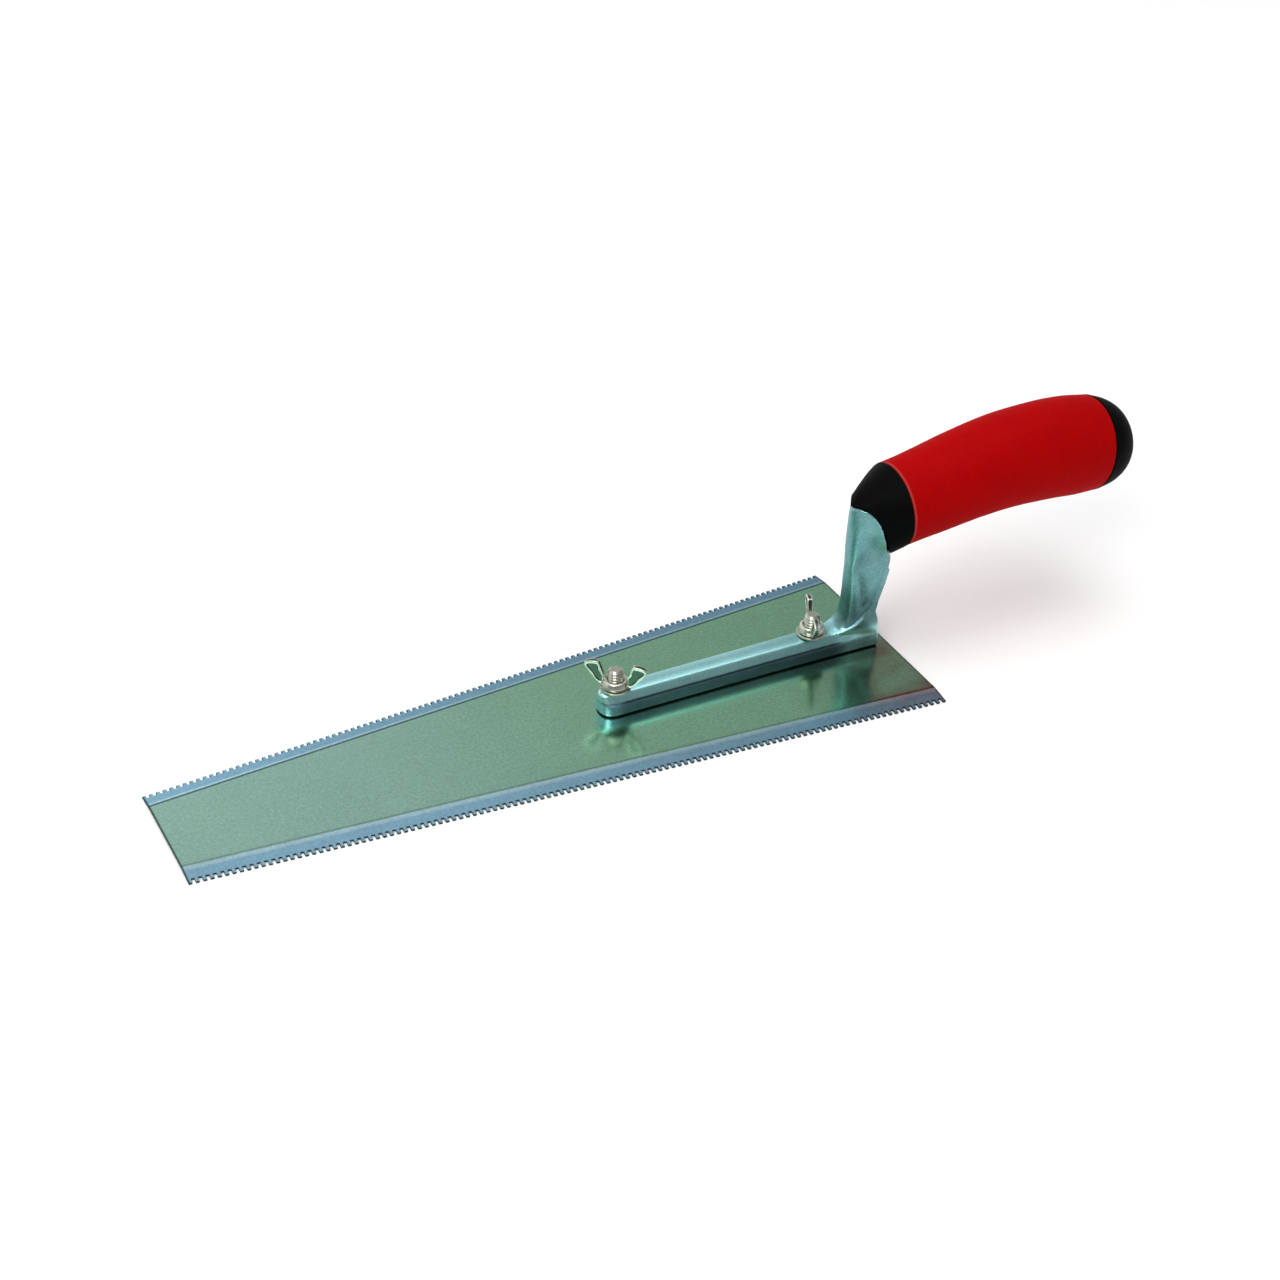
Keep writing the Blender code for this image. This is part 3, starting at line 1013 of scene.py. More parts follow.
@dataclass
class Blade:
    """The tapered sheet with two notched, bent-down edges."""

    heel_width: float = 101.6
    toe_width: float = 54.8
    notch_count: int = 114
    notch_depth: float = 2.0
    fold_radius: float = 0.9
    fold_zone: float = 1.4
    tip_rows: int = 2
    flange_rows: int = 12
    face_rows: int = 8
    weld: float = 1e-6
    neck_hole: float = 7.0
    edge_break: float = 0.06
    edge_angle: float = math.radians(50.0)
    sheared_below: float = 0.8
    sharp_angle: float = 30.0

    def build(self, material: Material, bolts: "ClampBolts") -> None:
        """Make the sheet by rule, then cut the two square holes.

        Args:
            material: The sheet's material.
            bolts: Where the holes are.
        """
        rows = 2 * (self.tip_rows + self.flange_rows + self.face_rows)
        recipe = Recipe("blade_sheet", {
            "Length": TOOL.blade_length * MM, "Heel Half": self.heel_width / 2 * MM,
            "Toe Half": self.toe_width / 2 * MM, "Flange": TOOL.flange * MM, "Slope": TOOL.slope,
            "Notch Depth": self.notch_depth * MM, "Sheet": TOOL.sheet * MM,
            "Fold": self.fold_radius * MM,
            "Heel X": float(TOOL.shift[0]) * MM, "Top Z": float(TOOL.shift[2]) * MM,
            "Columns": 2 * self.notch_count + 1, "Rows": rows, "Material": material,
        })
        columns, count = recipe.given("Columns"), recipe.given("Rows")
        grid = recipe.field("GeometryNodeMeshGrid", None, {
            "Size X": 1.0, "Size Y": 1.0,
            "Vertices X": columns + 1.0, "Vertices Y": count + 1.0,
        })
        u, v, _ = recipe.axes(recipe.field("GeometryNodeInputPosition"))
        along = u + 0.5
        across = (v + 0.5) * count
        row = across.least(count - across)
        notch = (along * columns).math("FLOOR").math("MODULO", 2.0)
        cut = recipe.field("GeometryNodeDeleteGeometry", {"domain": "FACE"}, {
            "Geometry": grid, "Selection": notch * (row < float(self.tip_rows)),
        })
        heel = recipe.given("Heel Half")
        half = along * (recipe.given("Toe Half") - heel) + heel
        flange, depth = recipe.given("Flange"), recipe.given("Notch Depth")
        second = self.tip_rows + self.flange_rows
        bend = flange + self.fold_zone * MM
        inward = row.span(0.0, self.tip_rows, 0.0, depth)
        inward = inward + row.span(self.tip_rows, second, 0.0, bend - depth)
        inward = inward + row.span(second, second + self.face_rows, 0.0, half - bend)
        out = flange - inward
        fold = recipe.given("Fold")
        drop = (out + (out * out + fold * fold).math("SQRT")) * 0.5 * recipe.given("Slope")
        shaped = recipe.field("ShaderNodeCombineXYZ", None, {
            0: recipe.given("Heel X") - along * recipe.given("Length"),
            1: v.math("SIGN") * (half - inward), 2: recipe.given("Top Z") - drop,
        })
        upper = recipe.field("GeometryNodeSetPosition", None, {"Geometry": cut, "Position": shaped})
        down = recipe.field("ShaderNodeCombineXYZ", None, {2: recipe.given("Sheet") * -1.0})
        lower = recipe.field("GeometryNodeExtrudeMesh", {"mode": "FACES"}, {
            "Mesh": upper, "Offset": down, "Individual": False,
        })
        both = recipe.node("GeometryNodeJoinGeometry")
        for part in (lower, upper):
            recipe.tree.links.new(part.socket, both.inputs[0])
        blade = recipe.run(recipe.weld(both.outputs[0], self.weld))
        for station in Station:
            centre = (bolts.place(station), 0.0, 0.0)
            combine(blade, block("hole", centre, self.neck_hole, 4 * TOOL.sheet), "DIFFERENCE")
        bevel = blade.modifiers.new("Edge break", "BEVEL")
        bevel.width = self.edge_break * MM
        bevel.segments = 1
        bevel.limit_method = "ANGLE"
        bevel.angle_limit = self.edge_angle
        plain(blade)
        faces = blade.data.polygons
        upright = np.array([abs(face.normal.z) < self.sheared_below for face in faces], float)
        store(blade.data, "cut", "FACE", upright)
        hand_in(blade, material, Body.TOOL, "blade", self.sharp_angle)


@dataclass
class MountCasting:
    """The casting: a low beam on the blade, an upright shank and the tang in the handle."""

    height: float = 9.8
    nose_x: float = -122.4
    nose_length: float = 6.8
    nose_half: float = 6.1
    nose_power: float = 2.5
    nose_dip: float = 1.2
    nose_rings: int = 13
    wall_share: float = 0.57
    crown_share: float = 0.54
    camber: float = 0.6
    lift: float = 0.3
    voxel: float = 0.42
    passes: int = 10
    sharp_angle: float = 50.0
    tang_front: Triple = (-8.0, 0.0, 57.0)
    tang_rear: Triple = (112.2, 0.0, 66.0)
    tang_length: float = 44.0
    tang_radius: float = 5.5
    stations: Rows = (
        (-113.0, 6.1, 0.0), (-60.0, 6.4, 0.0), (-26.0, 6.9, 0.0), (-18.0, 7.1, 1.2),
        (-12.0, 7.2, 3.4), (-5.0, 7.4, 6.2),
    )
    shank: Rows = (
        (-25.0, 6.0, -5.2, 6.0, 5.0, 6.5, 5.0),
        (-22.4, 10.0, -5.2, 10.4, 5.0, 6.5, 5.0),
        (-19.4, 14.5, -6.6, 16.0, 4.8, 6.4, 5.0),
        (-18.4, 22.0, -5.3, 22.0, 4.7, 6.3, 4.5),
        (-18.4, 32.0, -2.4, 30.0, 4.8, 6.3, 4.0),
        (-18.4, 44.0, -0.3, 36.5, 5.2, 6.7, 3.6),
        (-18.6, 55.0, 0.2, 40.4, 6.8, 8.2, 2.8),
        (-18.8, 64.9, 0.2, 43.2, 10.5, 10.4, 2.1),
    )
    shank_sections: int = 72
    shank_points: int = 96
    gusset: Rows = (
        (-25.0, 9.2), (-22.0, 9.8), (-18.9, 10.9), (-16.0, 12.5), (-13.1, 14.9), (-11.0, 17.6),
        (-9.0, 21.1), (-7.4, 24.6), (-6.2, 27.9), (-4.6, 32.6), (-3.0, 36.0), (-1.3, 35.0),
        (-2.7, 30.0), (-5.5, 22.0), (-6.9, 17.0), (-5.6, 13.2), (-5.3, 10.4), (-5.3, 4.0),
        (-25.0, 4.0),
    )
    gusset_half: float = 7.2
    gusset_taper: float = 0.045
    gusset_front: float = 4.6
    gusset_spread: float = 0.25
    hollow: float = 0.7

    @property
    def tang_axis(self) -> np.ndarray:
        """Way from the front end of the tang's axis to the butt."""
        return np.subtract(self.tang_rear, self.tang_front)

    def beam_ring(self, x: float, half: float, height: float) -> list[Triple]:
        """Return one section of the beam.

        Args:
            x: Place along the tool.
            half: Half width at the foot.
            height: Height of the crown.

        Returns:
            The ring: upright walls, sloped shoulders and a rounded crown.
        """
        wall, crown = self.wall_share * height, self.crown_share * half
        right = [
            (half, self.lift), (half * 0.985, wall * 0.4), (half * 0.97, wall * 0.7),
            (half * 0.92, wall), (crown + 0.4, height - self.camber - 0.3),
            (crown, height - self.camber), (crown * 0.5, height - self.camber * 0.27),
        ]
        ring = right + [(0.0, height)] + [(-y, z) for y, z in right[::-1]]
        return [(x, y, z) for y, z in ring]

    def shank_rings(self) -> np.ndarray:
        """Return the sections of the shank.

        Returns:
            The rings, from foot to collar.
        """
        angles = np.linspace(0.0, 2 * math.pi, self.shank_points, endpoint=False)
        cosine, sine = np.cos(angles), np.sin(angles)
        sections = smooth_rows(self.shank, self.shank_sections)
        rings = []
        for i, (fx, fz, rx, rz, front, rear, power) in enumerate(sections):
            u = np.sign(cosine) * np.abs(cosine) ** (2 / power)
            v = np.sign(sine) * np.abs(sine) ** (2 / power)
            share = (u + 1) / 2
            height = fz + (rz - fz) * share
            dip = np.exp(-((share - 0.14 - np.clip(36.0 - height, 0.0, 16.0) * 0.018) / 0.11) ** 2)
            fade = np.clip((height - 15.0) / 5.0, 0.0, 1.0)
            dip *= self.hollow * fade * np.clip((46.0 - height) / 8.0, 0.0, 1.0)
            half = front + (rear - front) * share - dip
            ring = np.array([fx + (rx - fx) * share, half * v, height]).T
            late = max(0.0, (i / (len(sections) - 1) - 0.7) / 0.3)
            rings.append(ring + np.outer(seam_rise(1 - 2 * share) * late ** 2, SEAM_NORMAL))
        return np.array(rings)

    def gusset_rings(self) -> np.ndarray:
        """Return the gusset that sweeps from the beam up the rear of the shank.

        Returns:
            The outlines of its two sides.
        """
        outline = np.array(self.gusset)
        x, z = outline.T
        width = self.gusset_half - np.clip(z - 10.0, 0.0, None) * self.gusset_taper
        width = np.minimum(width, self.gusset_front + (x - outline[0, 0]) * self.gusset_spread)
        return np.array([np.column_stack((x, side * width, z)) for side in (-1, 1)])

    def build(self, material: Material, bolts: "ClampBolts") -> None:
        """Join the bodies, soften them into one casting and drill it.

        Args:
            material: The casting's material.
            bolts: Where the clamp bolts pass.
        """
        rings = []
        for i in range(self.nose_rings):
            a = math.pi / 2 * (i + 0.35) / (self.nose_rings - 0.65)
            reach = math.sin(a) ** (2 / self.nose_power)
            x = self.nose_x - self.nose_length * math.cos(a) ** (2 / self.nose_power)
            height = self.height - self.nose_dip * (1 - reach) ** 2
            rings.append(self.beam_ring(x, self.nose_half * reach, height))
        for x, half, rise in self.stations:
            rings.append(self.beam_ring(x, half, self.height + rise))
        casting = skin("mount", np.array(rings))
        combine(casting, skin("shank", self.shank_rings()), "UNION")
        combine(casting, skin("gusset", self.gusset_rings()), "UNION")
        radius, length = self.tang_radius, self.tang_length
        profile = ((-5.0, radius), (length - 1.0, radius), (length, radius - 1.0))
        tang = turned(profile, self.tang_front, self.tang_axis, 48)
        combine(casting, skin("tang", tang), "UNION")
        cast_skin(casting, self.voxel, self.passes)
        profile = ((0.0, bolts.hole), (30.0, bolts.hole))
        for station in Station:
            start = (bolts.place(station), 0.0, -5.0)
            combine(casting, skin("hole", turned(profile, start, UP, 48)), "DIFFERENCE")
        mark_edges(casting)
        hand_in(casting, material, Body.TOOL, "mount_casting", self.sharp_angle)


@dataclass
class ClampBolts:
    """The two clamp bolts with their washers and wing nuts."""

    front_x: float = -121.9
    spacing: float = 88.9
    radius: float = 3.175
    pitch: float = 1.27
    thread_depth: float = 0.42
    bottom: float = 0.6
    top: float = 18.9
    chamfer: float = 1.0
    stud_points: int = 49
    stud_rows: int = 190
    stud_weld: float = 2e-6
    head_radius: float = 7.0
    head_thickness: float = 0.8
    neck: float = 6.4
    neck_rise: float = 0.9
    neck_sink: float = 0.1
    neck_bevel: float = 0.25
    gap: float = 0.3
    seat: float = 10.1
    washer_radius: float = 6.2
    washer_thickness: float = 0.6
    nut_base: float = 11.0
    wing_half: float = 1.1
    panel_inset: float = 1.15
    panel_floor: float = 0.65
    panel_start: float = 5.0
    rough_skin: tuple[float, int] = (0.18, 4)
    fine_skin: tuple[float, int] = (0.16, 2)
    sharp_angle: float = 40.0
    nut_sharp_angle: float = 50.0
    turns: tuple[float, float] = (math.radians(-42.0), math.radians(68.0))
    barrel: Rows = (
        (0.0, HAIR), (0.0, 5.0), (0.4, 5.4), (1.2, 5.4), (2.8, 4.8), (3.2, 4.4), (3.2, HAIR),
    )
    wing: Rows = (
        (3.7, 0.5), (6.2, 0.6), (8.4, 2.4), (10.4, 4.9), (12.2, 7.5), (12.6, 8.7), (12.0, 9.6),
        (9.8, 10.3), (7.6, 10.4), (6.8, 9.8), (5.8, 7.3), (4.8, 4.7), (3.7, 2.6),
    )

    @property
    def hole(self) -> float:
        """Radius of a hole that the bolts run free in."""
        return self.radius + self.gap

    def place(self, station: Station) -> float:
        """Return the x of a station."""
        return self.front_x + (self.spacing if station is Station.REAR else 0.0)

    def turn(self, station: Station) -> float:
        """Return the angle at which a station's nut stands."""
        return self.turns[0 if station is Station.FRONT else 1]

    def stud(self, station: Station, material: Material) -> Piece:
        """Make the threaded length of a bolt by rule.

        Args:
            station: Which bolt.
            material: Its material.

        Returns:
            The closed, threaded stud.
        """
        x, _, bottom = TOOL.place((self.place(station), 0.0, self.bottom))
        recipe = Recipe(station.value + "_stud", {
            "Radius": self.radius * MM, "Pitch": self.pitch * MM, "Depth": self.thread_depth * MM,
            "Bottom": float(bottom), "Top": float(TOOL.place((0, 0, self.top))[2]),
            "Axis X": float(x), "Chamfer": self.chamfer * MM, "Points": self.stud_points,
            "Rows": self.stud_rows, "Material": material,
        })
        grid = recipe.field("GeometryNodeMeshGrid", None, {
            "Size X": 1.0, "Size Y": 1.0,
            "Vertices X": recipe.given("Points"), "Vertices Y": recipe.given("Rows"),
        })
        u, v, _ = recipe.axes(recipe.field("GeometryNodeInputPosition"))
        radius, top, bottom = recipe.given("Radius"), recipe.given("Top"), recipe.given("Bottom")
        point = radius - recipe.given("Chamfer")
        reach = (v + 0.5) * (top + point - bottom) + bottom
        height = reach.least(top)
        turn = u + 0.5
        phase = (height / recipe.given("Pitch") - turn).math("FRACT")
        crest = (phase * 2.0 - 1.0).math("ABSOLUTE").span(0.08, 0.88)
        ridge = radius - recipe.given("Depth") * (1.0 - crest)
        ridge = ridge.least(point + top - reach).least((reach - bottom) * 60.0).most(0.0)
        angle = turn * (2 * math.pi)
        ring = recipe.field("ShaderNodeCombineXYZ", None, {
            0: angle.math("COSINE") * ridge + recipe.given("Axis X"),
            1: angle.math("SINE") * ridge, 2: height,
        })
        shaped = recipe.field("GeometryNodeSetPosition", None, {"Geometry": grid, "Position": ring})
        return recipe.run(recipe.weld(shaped, self.stud_weld))

    def bolt(self, station: Station, material: Material) -> None:
        """Make one bolt: thin head under the blade, square neck and threaded stud.

        Args:
            station: Which bolt.
            material: Its material.
        """
        x = self.place(station)
        under = -TOOL.sheet - self.gap
        obj = self.stud(station, material)
        rim, thick = self.head_radius, self.head_thickness
        head = rounded(
            ((-thick, HAIR), (-thick, rim - 0.5), (-0.2, rim), (0.0, rim), (0.0, HAIR)), 0.5)
        disc = skin("head", turned(head, (x, 0.0, under), UP, 64))
        height = TOOL.sheet + self.gap + self.neck_rise
        centre = (x, 0.0, under - self.neck_sink + height / 2)
        combine(disc, block("neck", centre, self.neck, height, self.neck_bevel), "UNION")
        joined = bmesh.new()
        for part in (obj, disc):
            joined.from_mesh(part.data)
        joined.to_mesh(obj.data)
        joined.free()
        bpy.data.objects.remove(disc)
        obj.name = station.value + "_clamp_bolt"
        hand_in(obj, material, Body.TOOL, station.value + "_blade_bolt", self.sharp_angle)

    def washer(self, station: Station, material: Material) -> None:
        """Make one flat washer with a punched, rounded rim.

        Args:
            station: Which station.
            material: Its material.
        """
        hole, rim, thick = self.hole, self.washer_radius, self.washer_thickness
        loop = [
            (0.0, hole + 0.15), (0.0, rim - 0.2), (0.06, rim - 0.06), (0.2, rim),
            (thick - 0.25, rim), (thick - 0.08, rim - 0.08), (thick, rim - 0.3),
            (thick, hole + 0.25), (thick - 0.06, hole + 0.06), (thick - 0.2, hole), (0.12, hole),
        ]
        rings = turned(loop, (self.place(station), 0.0, self.seat), UP, 96)
        obj = skin(station.value + "_flat_washer", rings, True)
        body = Body[station.name + "_WASHER"]
        hand_in(obj, material, body, station.value + "_washer", self.sharp_angle)

    def wing_plate(self, station: Station, side: int, inset: float, low: float,
                   high: float) -> Piece:
        """Make one flat plate with the wing's outline.

        Args:
            station: Which nut.
            side: 0 or 1, the wing on either side.
            inset: How far the outline is drawn in, in millimetres.
            low: Lower face across the wing.
            high: Upper face across the wing.

        Returns:
            The plate.
        """
        outline = smooth_rows(self.wing + self.wing[:1], 72)[:-1]
        centre = outline.mean(0)
        away = outline - centre
        outline = centre + away * (1 - inset / np.linalg.norm(away, axis=1, keepdims=True))
        turn = self.turn(station) + math.pi * side
        rings = []
        for y in (low, high):
            px = outline[:, 0] * math.cos(turn) - y * math.sin(turn) + self.place(station)
            py = outline[:, 0] * math.sin(turn) + y * math.cos(turn)
            rings.append(np.column_stack((px, py, outline[:, 1] + self.nut_base)))
        return skin("plate", np.array(rings))

    def nut(self, station: Station, material: Material) -> None:
        """Make one wing nut: coned barrel and two wings with sunk panels.

        Args:
            station: Which station.
            material: Its material.
        """
        base = (self.place(station), 0.0, self.nut_base)
        obj = skin(station.value + "_thumb_nut", turned(self.barrel, base, UP, 64))
        half, floor, past = self.wing_half, self.panel_floor, 3.0
        for side in (0, 1):
            combine(obj, self.wing_plate(station, side, 0.0, -half, half), "UNION")
        cast_skin(obj, *self.rough_skin)
        for side in (0, 1):
            for low, high in ((floor, past), (-past, -floor)):
                plate = self.wing_plate(station, side, self.panel_inset, low, high)
                combine(obj, plate, "DIFFERENCE")
        cast_skin(obj, *self.fine_skin)
        profile = ((-2.0, self.hole + 2.0 - 0.3), (0.3, self.hole), (14.0, self.hole))
        combine(obj, skin("bore", turned(profile, base, UP, 48)), "DIFFERENCE")
        self.mark_panels(obj, station)
        mark_edges(obj)
        body = Body[station.name + "_NUT"]
        hand_in(obj, material, body, station.value + "_wing_nut", self.nut_sharp_angle)

    def mark_panels(self, obj: Piece, station: Station) -> None:
        """Store which points lie in the wings' sunk panels.

        Args:
            obj: The nut.
            station: Which station.
        """
        points = values_of(obj.data, "co") / MM - TOOL.shift
        points = points - np.array([self.place(station), 0.0, 0.0])
        turn = self.turn(station)
        along = np.abs(points[:, 0] * math.cos(turn) + points[:, 1] * math.sin(turn))
        across = np.abs(points[:, 1] * math.cos(turn) - points[:, 0] * math.sin(turn))
        sunk = np.clip((self.wing_half - 0.05 - across) / 0.2, 0.0, 1.0)
        sunk *= np.clip((along - self.panel_start) / 0.6, 0.0, 1.0)
        store(obj.data, "panel", "POINT", sunk)


@dataclass
class Handle:
    """The handle: collar, core, rubber sleeve, butt cap and the bolt that holds them."""

    points: int = 112
    rows: int = 60
    collar_rows: int = 48
    core_share: float = 0.8
    gap: float = 0.3
    lip: float = 0.55
    bolt_radius: float = 3.0
    thread_length: float = 18.0
    head_radius: float = 5.0
    head_thickness: float = 2.6
    socket_radius: float = 2.0
    washer_brim: float = 1.0
    washer_thickness: float = 1.0
    sharp_angle: float = 40.0
    collar: Rows = (
        (-19.6, 65.9, 0.8, 42.4, 11.7), (-14.4, 70.4, 0.9, 42.7, 13.3),
        (-9.4, 74.0, 1.0, 43.2, 15.0), (-4.9, 76.9, 1.1, 43.8, 16.5),
        (-0.8, 79.3, 1.4, 44.5, 17.4),
    )
    sleeve: Rows = (
        (0.3, 61.9, 17.4), (8.5, 63.1, 17.5), (17.2, 64.5, 17.9), (34.6, 67.6, 18.7),
        (52.5, 69.6, 19.6), (71.4, 69.6, 20.3), (84.0, 68.7, 20.5), (94.6, 67.6, 19.8),
    )
    butt: Rows = (
        (94.6, 67.6, 19.8), (100.2, 66.9, 18.6), (105.2, 66.4, 16.3), (108.8, 66.1, 13.1),
        (111.0, 66.0, 9.4), (111.6, 66.0, 7.2),
    )

    @staticmethod
    def square(centres: Rows) -> list[tuple[float, ...]]:
        """Return sections square to a centre line.

        Args:
            centres: The x, z and radius of each section.

        Returns:
            Top x and z, bottom x and z, and half width of each section.
        """
        sections = []
        for i, (x, z, radius) in enumerate(centres):
            a, b = centres[max(i - 1, 0)], centres[min(i + 1, len(centres) - 1)]
            tilt = math.atan2(b[1] - a[1], b[0] - a[0])
            dx, dz = -math.sin(tilt) * radius, math.cos(tilt) * radius
            sections.append((x + dx, z + dz, x - dx, z - dz, radius))
        return sections

    def ovals(self, sections: np.ndarray, share: float = 1.0, inset: float = 0.0) -> np.ndarray:
        """Return the rings of handle sections.

        Args:
            sections: Top, bottom and half width of each section.
            share: Scale of each ring about its centre.
            inset: How far each ring is drawn in.

        Returns:
            The rings.
        """
        angles = np.linspace(0.0, 2 * math.pi, self.points, endpoint=False)
        rings = []
        for tx, tz, bx, bz, half in sections:
            centre = np.array([(tx + bx) / 2, 0.0, (tz + bz) / 2])
            reach = np.array([(tx - bx) / 2, 0.0, (tz - bz) / 2])
            reach = reach * share - reach / np.linalg.norm(reach) * inset
            width = np.array([0.0, half * share - inset, 0.0])
            rings.append(centre + np.outer(np.cos(angles), reach) + np.outer(np.sin(angles), width))
        return np.array(rings)

    @staticmethod
    def round_ends(rings: np.ndarray, radius: float, start: bool, end: bool) -> np.ndarray:
        """Round the rims of a stack of rings.

        Args:
            rings: The rings.
            radius: Rim radius.
            start: Whether the first rim is rounded.
            end: Whether the last rim is rounded.

        Returns:
            The rings with extra ones at the rims.
        """
        def rim(edge: np.ndarray, inner: np.ndarray) -> list[np.ndarray]:
            """Round one rim.

            Args:
                edge: The ring at the rim.
                inner: A ring further in.

            Returns:
                The rings from the edge inwards.
            """
            centre = edge.mean(0)
            inward = inner.mean(0) - centre
            inward = inward / np.linalg.norm(inward)
            out = edge - centre
            length = np.linalg.norm(out, axis=1, keepdims=True)
            made = []
            for a in np.linspace(0.0, math.pi / 2, 7):
                shrink = radius * (1 - math.sin(a))
                sunk = inward * radius * (1 - math.cos(a))
                made.append(centre + out * (1 - shrink / length) + sunk)
            return made

        first = rim(rings[0], rings[3]) if start else [rings[0]]
        last = rim(rings[-1], rings[-4])[::-1] if end else [rings[-1]]
        return np.array(first + list(rings[1:-1]) + last)

    @staticmethod
    def mark_rim(obj: Piece, ring: np.ndarray, reach: float = 0.6) -> None:
        """Store how near each point is to a rim, for a painted highlight along it.

        Args:
            obj: The piece.
            ring: The rim's points in the tool's millimetres.
            reach: Where the mark fades out, in millimetres.
        """
        points = values_of(obj.data, "co")
        rim = TOOL.place(ring)
        gap = np.array([np.linalg.norm(rim - point, axis=1).min() for point in points])
        store(obj.data, "rim", "POINT", np.clip(1.3 - gap / (reach * MM), 0.0, 1.0))

    @staticmethod
    def bore(obj: Piece, casting: MountCasting,
             *profiles: Profile) -> None:
        """Drill along the tang's axis.

        Args:
            obj: The piece.
            casting: The casting, which has the axis.
            profiles: Pairs of distance and radius for each pass.
        """
        for profile in profiles:
            drill = turned(profile, casting.tang_front, casting.tang_axis, 48)
            combine(obj, skin("bore", drill), "DIFFERENCE")

    def build(self, plastic: MouldedPlastic, rubber: GripRubber, zinc: ZincPlate,
              casting: MountCasting) -> None:
        """Make every piece of the handle.

        Args:
            plastic: Finish of the collar, core and butt cap.
            rubber: Finish of the sleeve.
            zinc: Finish of the tang bolt and washer.
            casting: The casting whose tang the handle sits on.
        """
        butt = self.square(self.butt)
        sleeve = self.square(self.sleeve)
        sleeve[0], sleeve[-1] = self.collar[-1], butt[0]
        back = np.array([self.gap, 0.0, 0.0])
        length = float(np.linalg.norm(casting.tang_axis))
        loose, hole = casting.tang_radius + self.gap, self.bolt_radius + self.gap
        tang = ((-30.0, loose), (casting.tang_length + 2.0, loose))
        through = ((0.0, hole), (length + 30.0, hole))

        rings = self.ovals(smooth_rows(self.collar, self.collar_rows))
        lead = np.cos(np.linspace(0.0, 2 * math.pi, self.points, endpoint=False))
        arch = np.outer(seam_rise(lead), SEAM_NORMAL) + np.array([self.gap, 0.0, self.gap])
        for i, ring in enumerate(rings):
            ring += arch * (1 - i / (len(rings) - 1)) ** 2
        collar = skin("front_ferrule", self.round_ends(rings, self.lip, True, True))
        self.bore(collar, casting, tang)
        hand_in(collar, plastic.make("ferrule_plastic"), Body.TOOL, "front_collar")

        rings = self.ovals(smooth_rows(sleeve, self.rows), self.core_share)
        rings[0] += back
        core = skin("grip_core", rings)
        self.bore(core, casting, tang, through)
        hand_in(core, plastic.make("core_plastic"), Body.TOOL, "handle_core")

        fine = smooth_rows(sleeve, 2 * self.rows)
        outer = self.ovals(fine)
        inner = self.ovals(fine, self.core_share, -self.gap)
        outer[0] += back
        inner[0] += back
        outer = self.round_ends(outer, self.lip * 1.3, True, True)
        grip = skin("grip_rubber", np.concatenate((outer, inner[::-1])), True)
        self.mark_rim(grip, outer[3])
        hand_in(grip, rubber.make("grip_red"), Body.TOOL, "grip_sleeve")

        rings = self.ovals(smooth_rows(butt, self.rows))
        rings[0] += back
        cap = skin("butt_end", self.round_ends(rings, self.lip, True, False))
        seat = length - self.head_thickness - self.washer_thickness - 2 * self.gap
        pocket = self.head_radius + self.washer_brim + self.gap
        self.bore(cap, casting, through, ((seat, pocket), (length + 9.0, pocket)))
        hand_in(cap, plastic.make("butt_plastic"), Body.TOOL, "butt_cap")
        self.hardware(zinc, casting, length, seat + self.gap)

    def hardware(self, zinc: ZincPlate, casting: MountCasting, length: float, seat: float) -> None:
        """Make the tang bolt and its washer.

        Args:
            zinc: Their finish.
            casting: The casting, which has the axis.
            length: Length of the axis.
            seat: Where the washer sits along it.
        """
        front, axis = casting.tang_front, casting.tang_axis
        hole, rim = self.bolt_radius + self.gap, self.head_radius + self.washer_brim
        thick = self.washer_thickness
        loop = [
            (0.0, hole + 0.15), (0.0, rim - 0.2), (0.2, rim), (thick - 0.2, rim),
            (thick, rim - 0.2), (thick, hole + 0.2), (thick - 0.15, hole), (0.15, hole),
        ]
        rings = turned(loop, front, axis, 72) + axis / length * seat
        disc = skin("tang_flat_washer", rings, True)
        hand_in(disc, zinc.make("tang_washer_zinc"), Body.TOOL, "tang_washer", self.sharp_angle)
        head, start = length - self.head_thickness, casting.tang_length - self.thread_length
        radius, brim = self.bolt_radius, self.head_radius
        profile = [
            (start, HAIR), (start, radius - 0.6), (start + 0.6, radius), (head, radius),
            (head, brim), (head + 1.2, brim), (head + 2.0, brim * 0.82),
            (length - 0.2, brim * 0.5), (length - 0.2, HAIR),
        ]
        bolt = skin("tang_screw", turned(rounded(profile, 0.35), front, axis, 72))
        socket = ((head + 0.9, self.socket_radius), (length + 2.0, self.socket_radius))
        combine(bolt, skin("socket", turned(socket, front, axis, 6)), "DIFFERENCE")
        hand_in(bolt, zinc.make("tang_screw_zinc"), Body.TOOL, "tang_bolt", self.sharp_angle)


# Studio

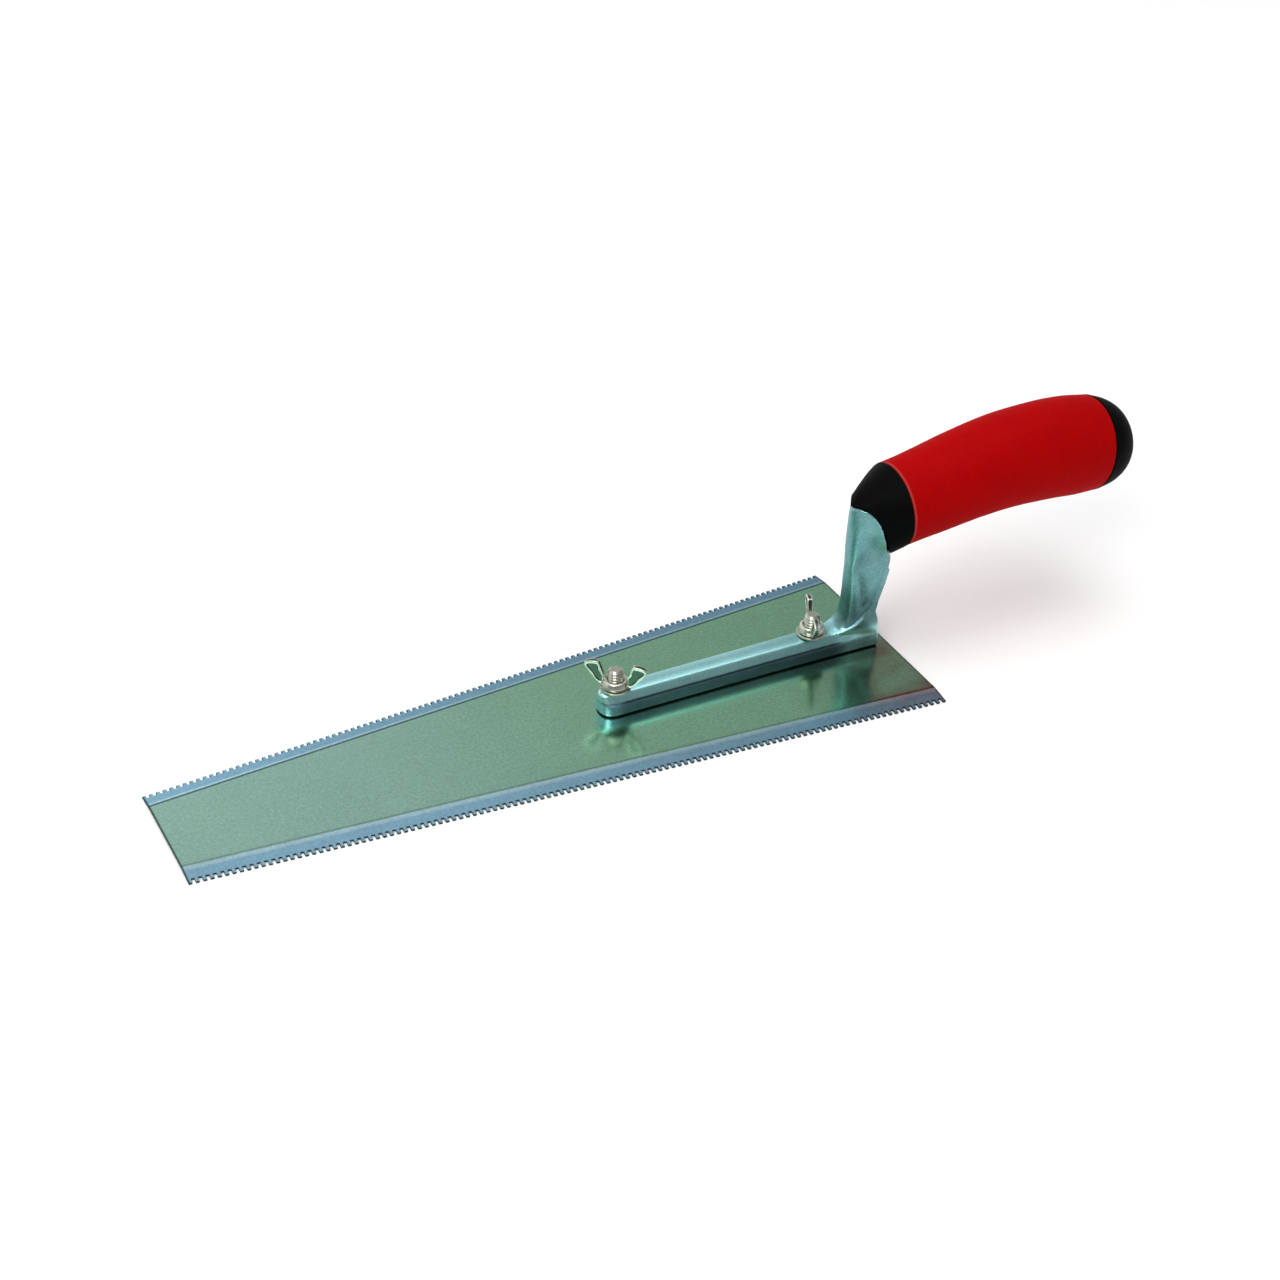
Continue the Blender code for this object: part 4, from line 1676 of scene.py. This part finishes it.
@dataclass
class Studio:
    """Pale floor, soft lights and the camera at the photograph's angle."""

    focal_pixels: float = 2320.0
    azimuth: float = math.radians(-28.14)
    elevation: float = math.radians(34.46)
    roll: float = math.radians(1.54)
    eye: Triple = (-461.30, -653.86, 538.25)
    floor_size: float = 14.0
    floor_colour: Colour = (0.93, 0.93, 0.93)
    floor_glow: Colour = (0.14, 0.14, 0.14)
    floor_mirrored: Colour = (0.66, 0.66, 0.66)
    floor_end: Colour = (0.5, 0.5, 0.5)
    floor_fade: tuple[float, float] = (0.8, 5.0)
    far_across: tuple[float, ...] = (0.15, 0.52, 0.74, 0.36)
    far_rise: tuple[float, ...] = (0.22, 0.8, 1.4, 0.72)
    near_rise: tuple[float, ...] = (0.70, 0.86, 0.14, 0.46)
    near_band: float = 0.2
    ceiling_level: float = 3.0
    crown_drop: float = 2.2
    key_place: Triple = (-0.9, -0.7, 1.2)
    key_size: float = 0.8
    key_power: float = 8.5

    def camera(self) -> None:
        """Put the camera where the photograph was taken."""
        data = bpy.data.cameras.new("photo_view")
        data.sensor_width = SENSOR_MM
        data.lens = SENSOR_MM * self.focal_pixels / IMAGE_PIXELS
        data.clip_start = 0.01
        made = bpy.data.objects.new("photo_view", data)
        bpy.context.scene.collection.objects.link(made)
        cosine, sine = math.cos(self.azimuth), math.sin(self.azimuth)
        level = Vector((cosine, sine, 0.0))
        flat = math.cos(self.elevation)
        back = Vector((sine * flat, -cosine * flat, math.sin(self.elevation)))
        over = back.cross(level)
        right = level * math.cos(self.roll) + over * math.sin(self.roll)
        up = over * math.cos(self.roll) - level * math.sin(self.roll)
        pose = Matrix((right, up, back)).transposed().to_4x4()
        pose.translation = Vector(TOOL.place(self.eye))
        made.matrix_world = pose
        bpy.context.scene.camera = made

    def lamp(self) -> None:
        """Hang the soft key lamp and point it at the origin."""
        data = bpy.data.lights.new("key", "AREA")
        data.shape = "RECTANGLE"
        data.size = data.size_y = self.key_size
        data.energy = self.key_power
        made = bpy.data.objects.new("key", data)
        bpy.context.scene.collection.objects.link(made)
        made.location = self.key_place
        made.rotation_euler = (-Vector(self.key_place)).to_track_quat("-Z", "Y").to_euler()

    def floor(self) -> None:
        """Lay the pale floor under the tooth tips."""
        bm = bmesh.new()
        bmesh.ops.create_grid(bm, x_segments=1, y_segments=1, size=self.floor_size / 2)
        made = from_bmesh("studio_floor", bm)
        dye = Dye("studio_floor")
        seen = dye.field("ShaderNodeLightPath", output="Is Camera Ray")
        glossy = dye.field("ShaderNodeLightPath", output="Is Glossy Ray")
        x, y, _ = dye.axes(dye.where)
        # Far from the tool the floor fades to white, so that no horizon shows.
        away = (x * x + y * y).ease(*self.floor_fade)
        white = dye.mix(seen.most(glossy), (0.0, 0.0, 0.0), self.floor_glow)
        white = dye.mix(seen * away, white, self.floor_end)
        made.data.materials.append(dye.dress(
            Base_Color=dye.mix(glossy, self.floor_colour, self.floor_mirrored), Roughness=0.9,
            Specular_IOR_Level=0.1, Emission_Color=white, Emission_Strength=1.0,
        ))

    def light(self) -> None:
        """Set the studio's sky, paler behind the tool and bright in a ring overhead."""
        world = bpy.data.worlds.new("studio")
        bpy.context.scene.world = world
        world.use_nodes = True
        graph = Graph(world.node_tree)
        x, y, z = graph.axes(graph.field("ShaderNodeTexCoord", output="Generated"))
        # The sky is pale behind the tool and dim on the camera's side.
        far = x.span(*self.far_across) * z.span(*self.far_rise)
        band = z.ease(0.3, 0.45) * z.ease(0.72, 0.6)
        near = z.ease(*self.near_rise) + band * self.near_band
        level = y.ease(-0.25, 0.25) * (far - near) + near
        # The ceiling is bright, but reflections see a dimmer middle, so that flat metal isn't lost.
        ceiling = z.ease(0.87, 0.96)
        mirrored = graph.field("ShaderNodeLightPath", output="Is Glossy Ray")
        crown = self.crown_drop * mirrored * z.ease(0.955, 0.985)
        shade = ceiling * (self.ceiling_level - crown - level) + level
        # The camera itself sees white.
        seen = graph.field("ShaderNodeLightPath", output="Is Camera Ray")
        shade = seen * (1.0 - shade) + shade
        glow = world.node_tree.nodes["Background"]
        graph.feed(glow.inputs["Color"], (1.0, 1.0, 1.0))
        graph.feed(glow.inputs["Strength"], shade)
        bpy.context.scene.view_settings.view_transform = "Standard"

    def build(self) -> None:
        """Set up the whole studio."""
        self.camera()
        self.floor()
        self.light()
        self.lamp()


def main() -> None:
    """Build the trowel's pieces in order and set up the studio."""
    logging.basicConfig(level=logging.INFO, format="%(name)s %(message)s")
    bolts, casting = ClampBolts(), MountCasting()
    zinc = ZincPlate()
    steel = SatinSteel().make("blade_steel", float(TOOL.shift[0]) * MM, TOOL.blade_length * MM)
    Blade().build(steel, bolts)
    casting.build(CastAluminium().make("mount_aluminium"), bolts)
    for station in Station:
        bolts.bolt(station, zinc.make(station.value + "_bolt_zinc"))
        bolts.washer(station, zinc.make(station.value + "_washer_zinc"))
        bolts.nut(station, zinc.make(station.value + "_nut_zinc"))
    Handle().build(MouldedPlastic(), GripRubber(), zinc, casting)
    Studio().build()


if __name__ == "__main__":
    main()
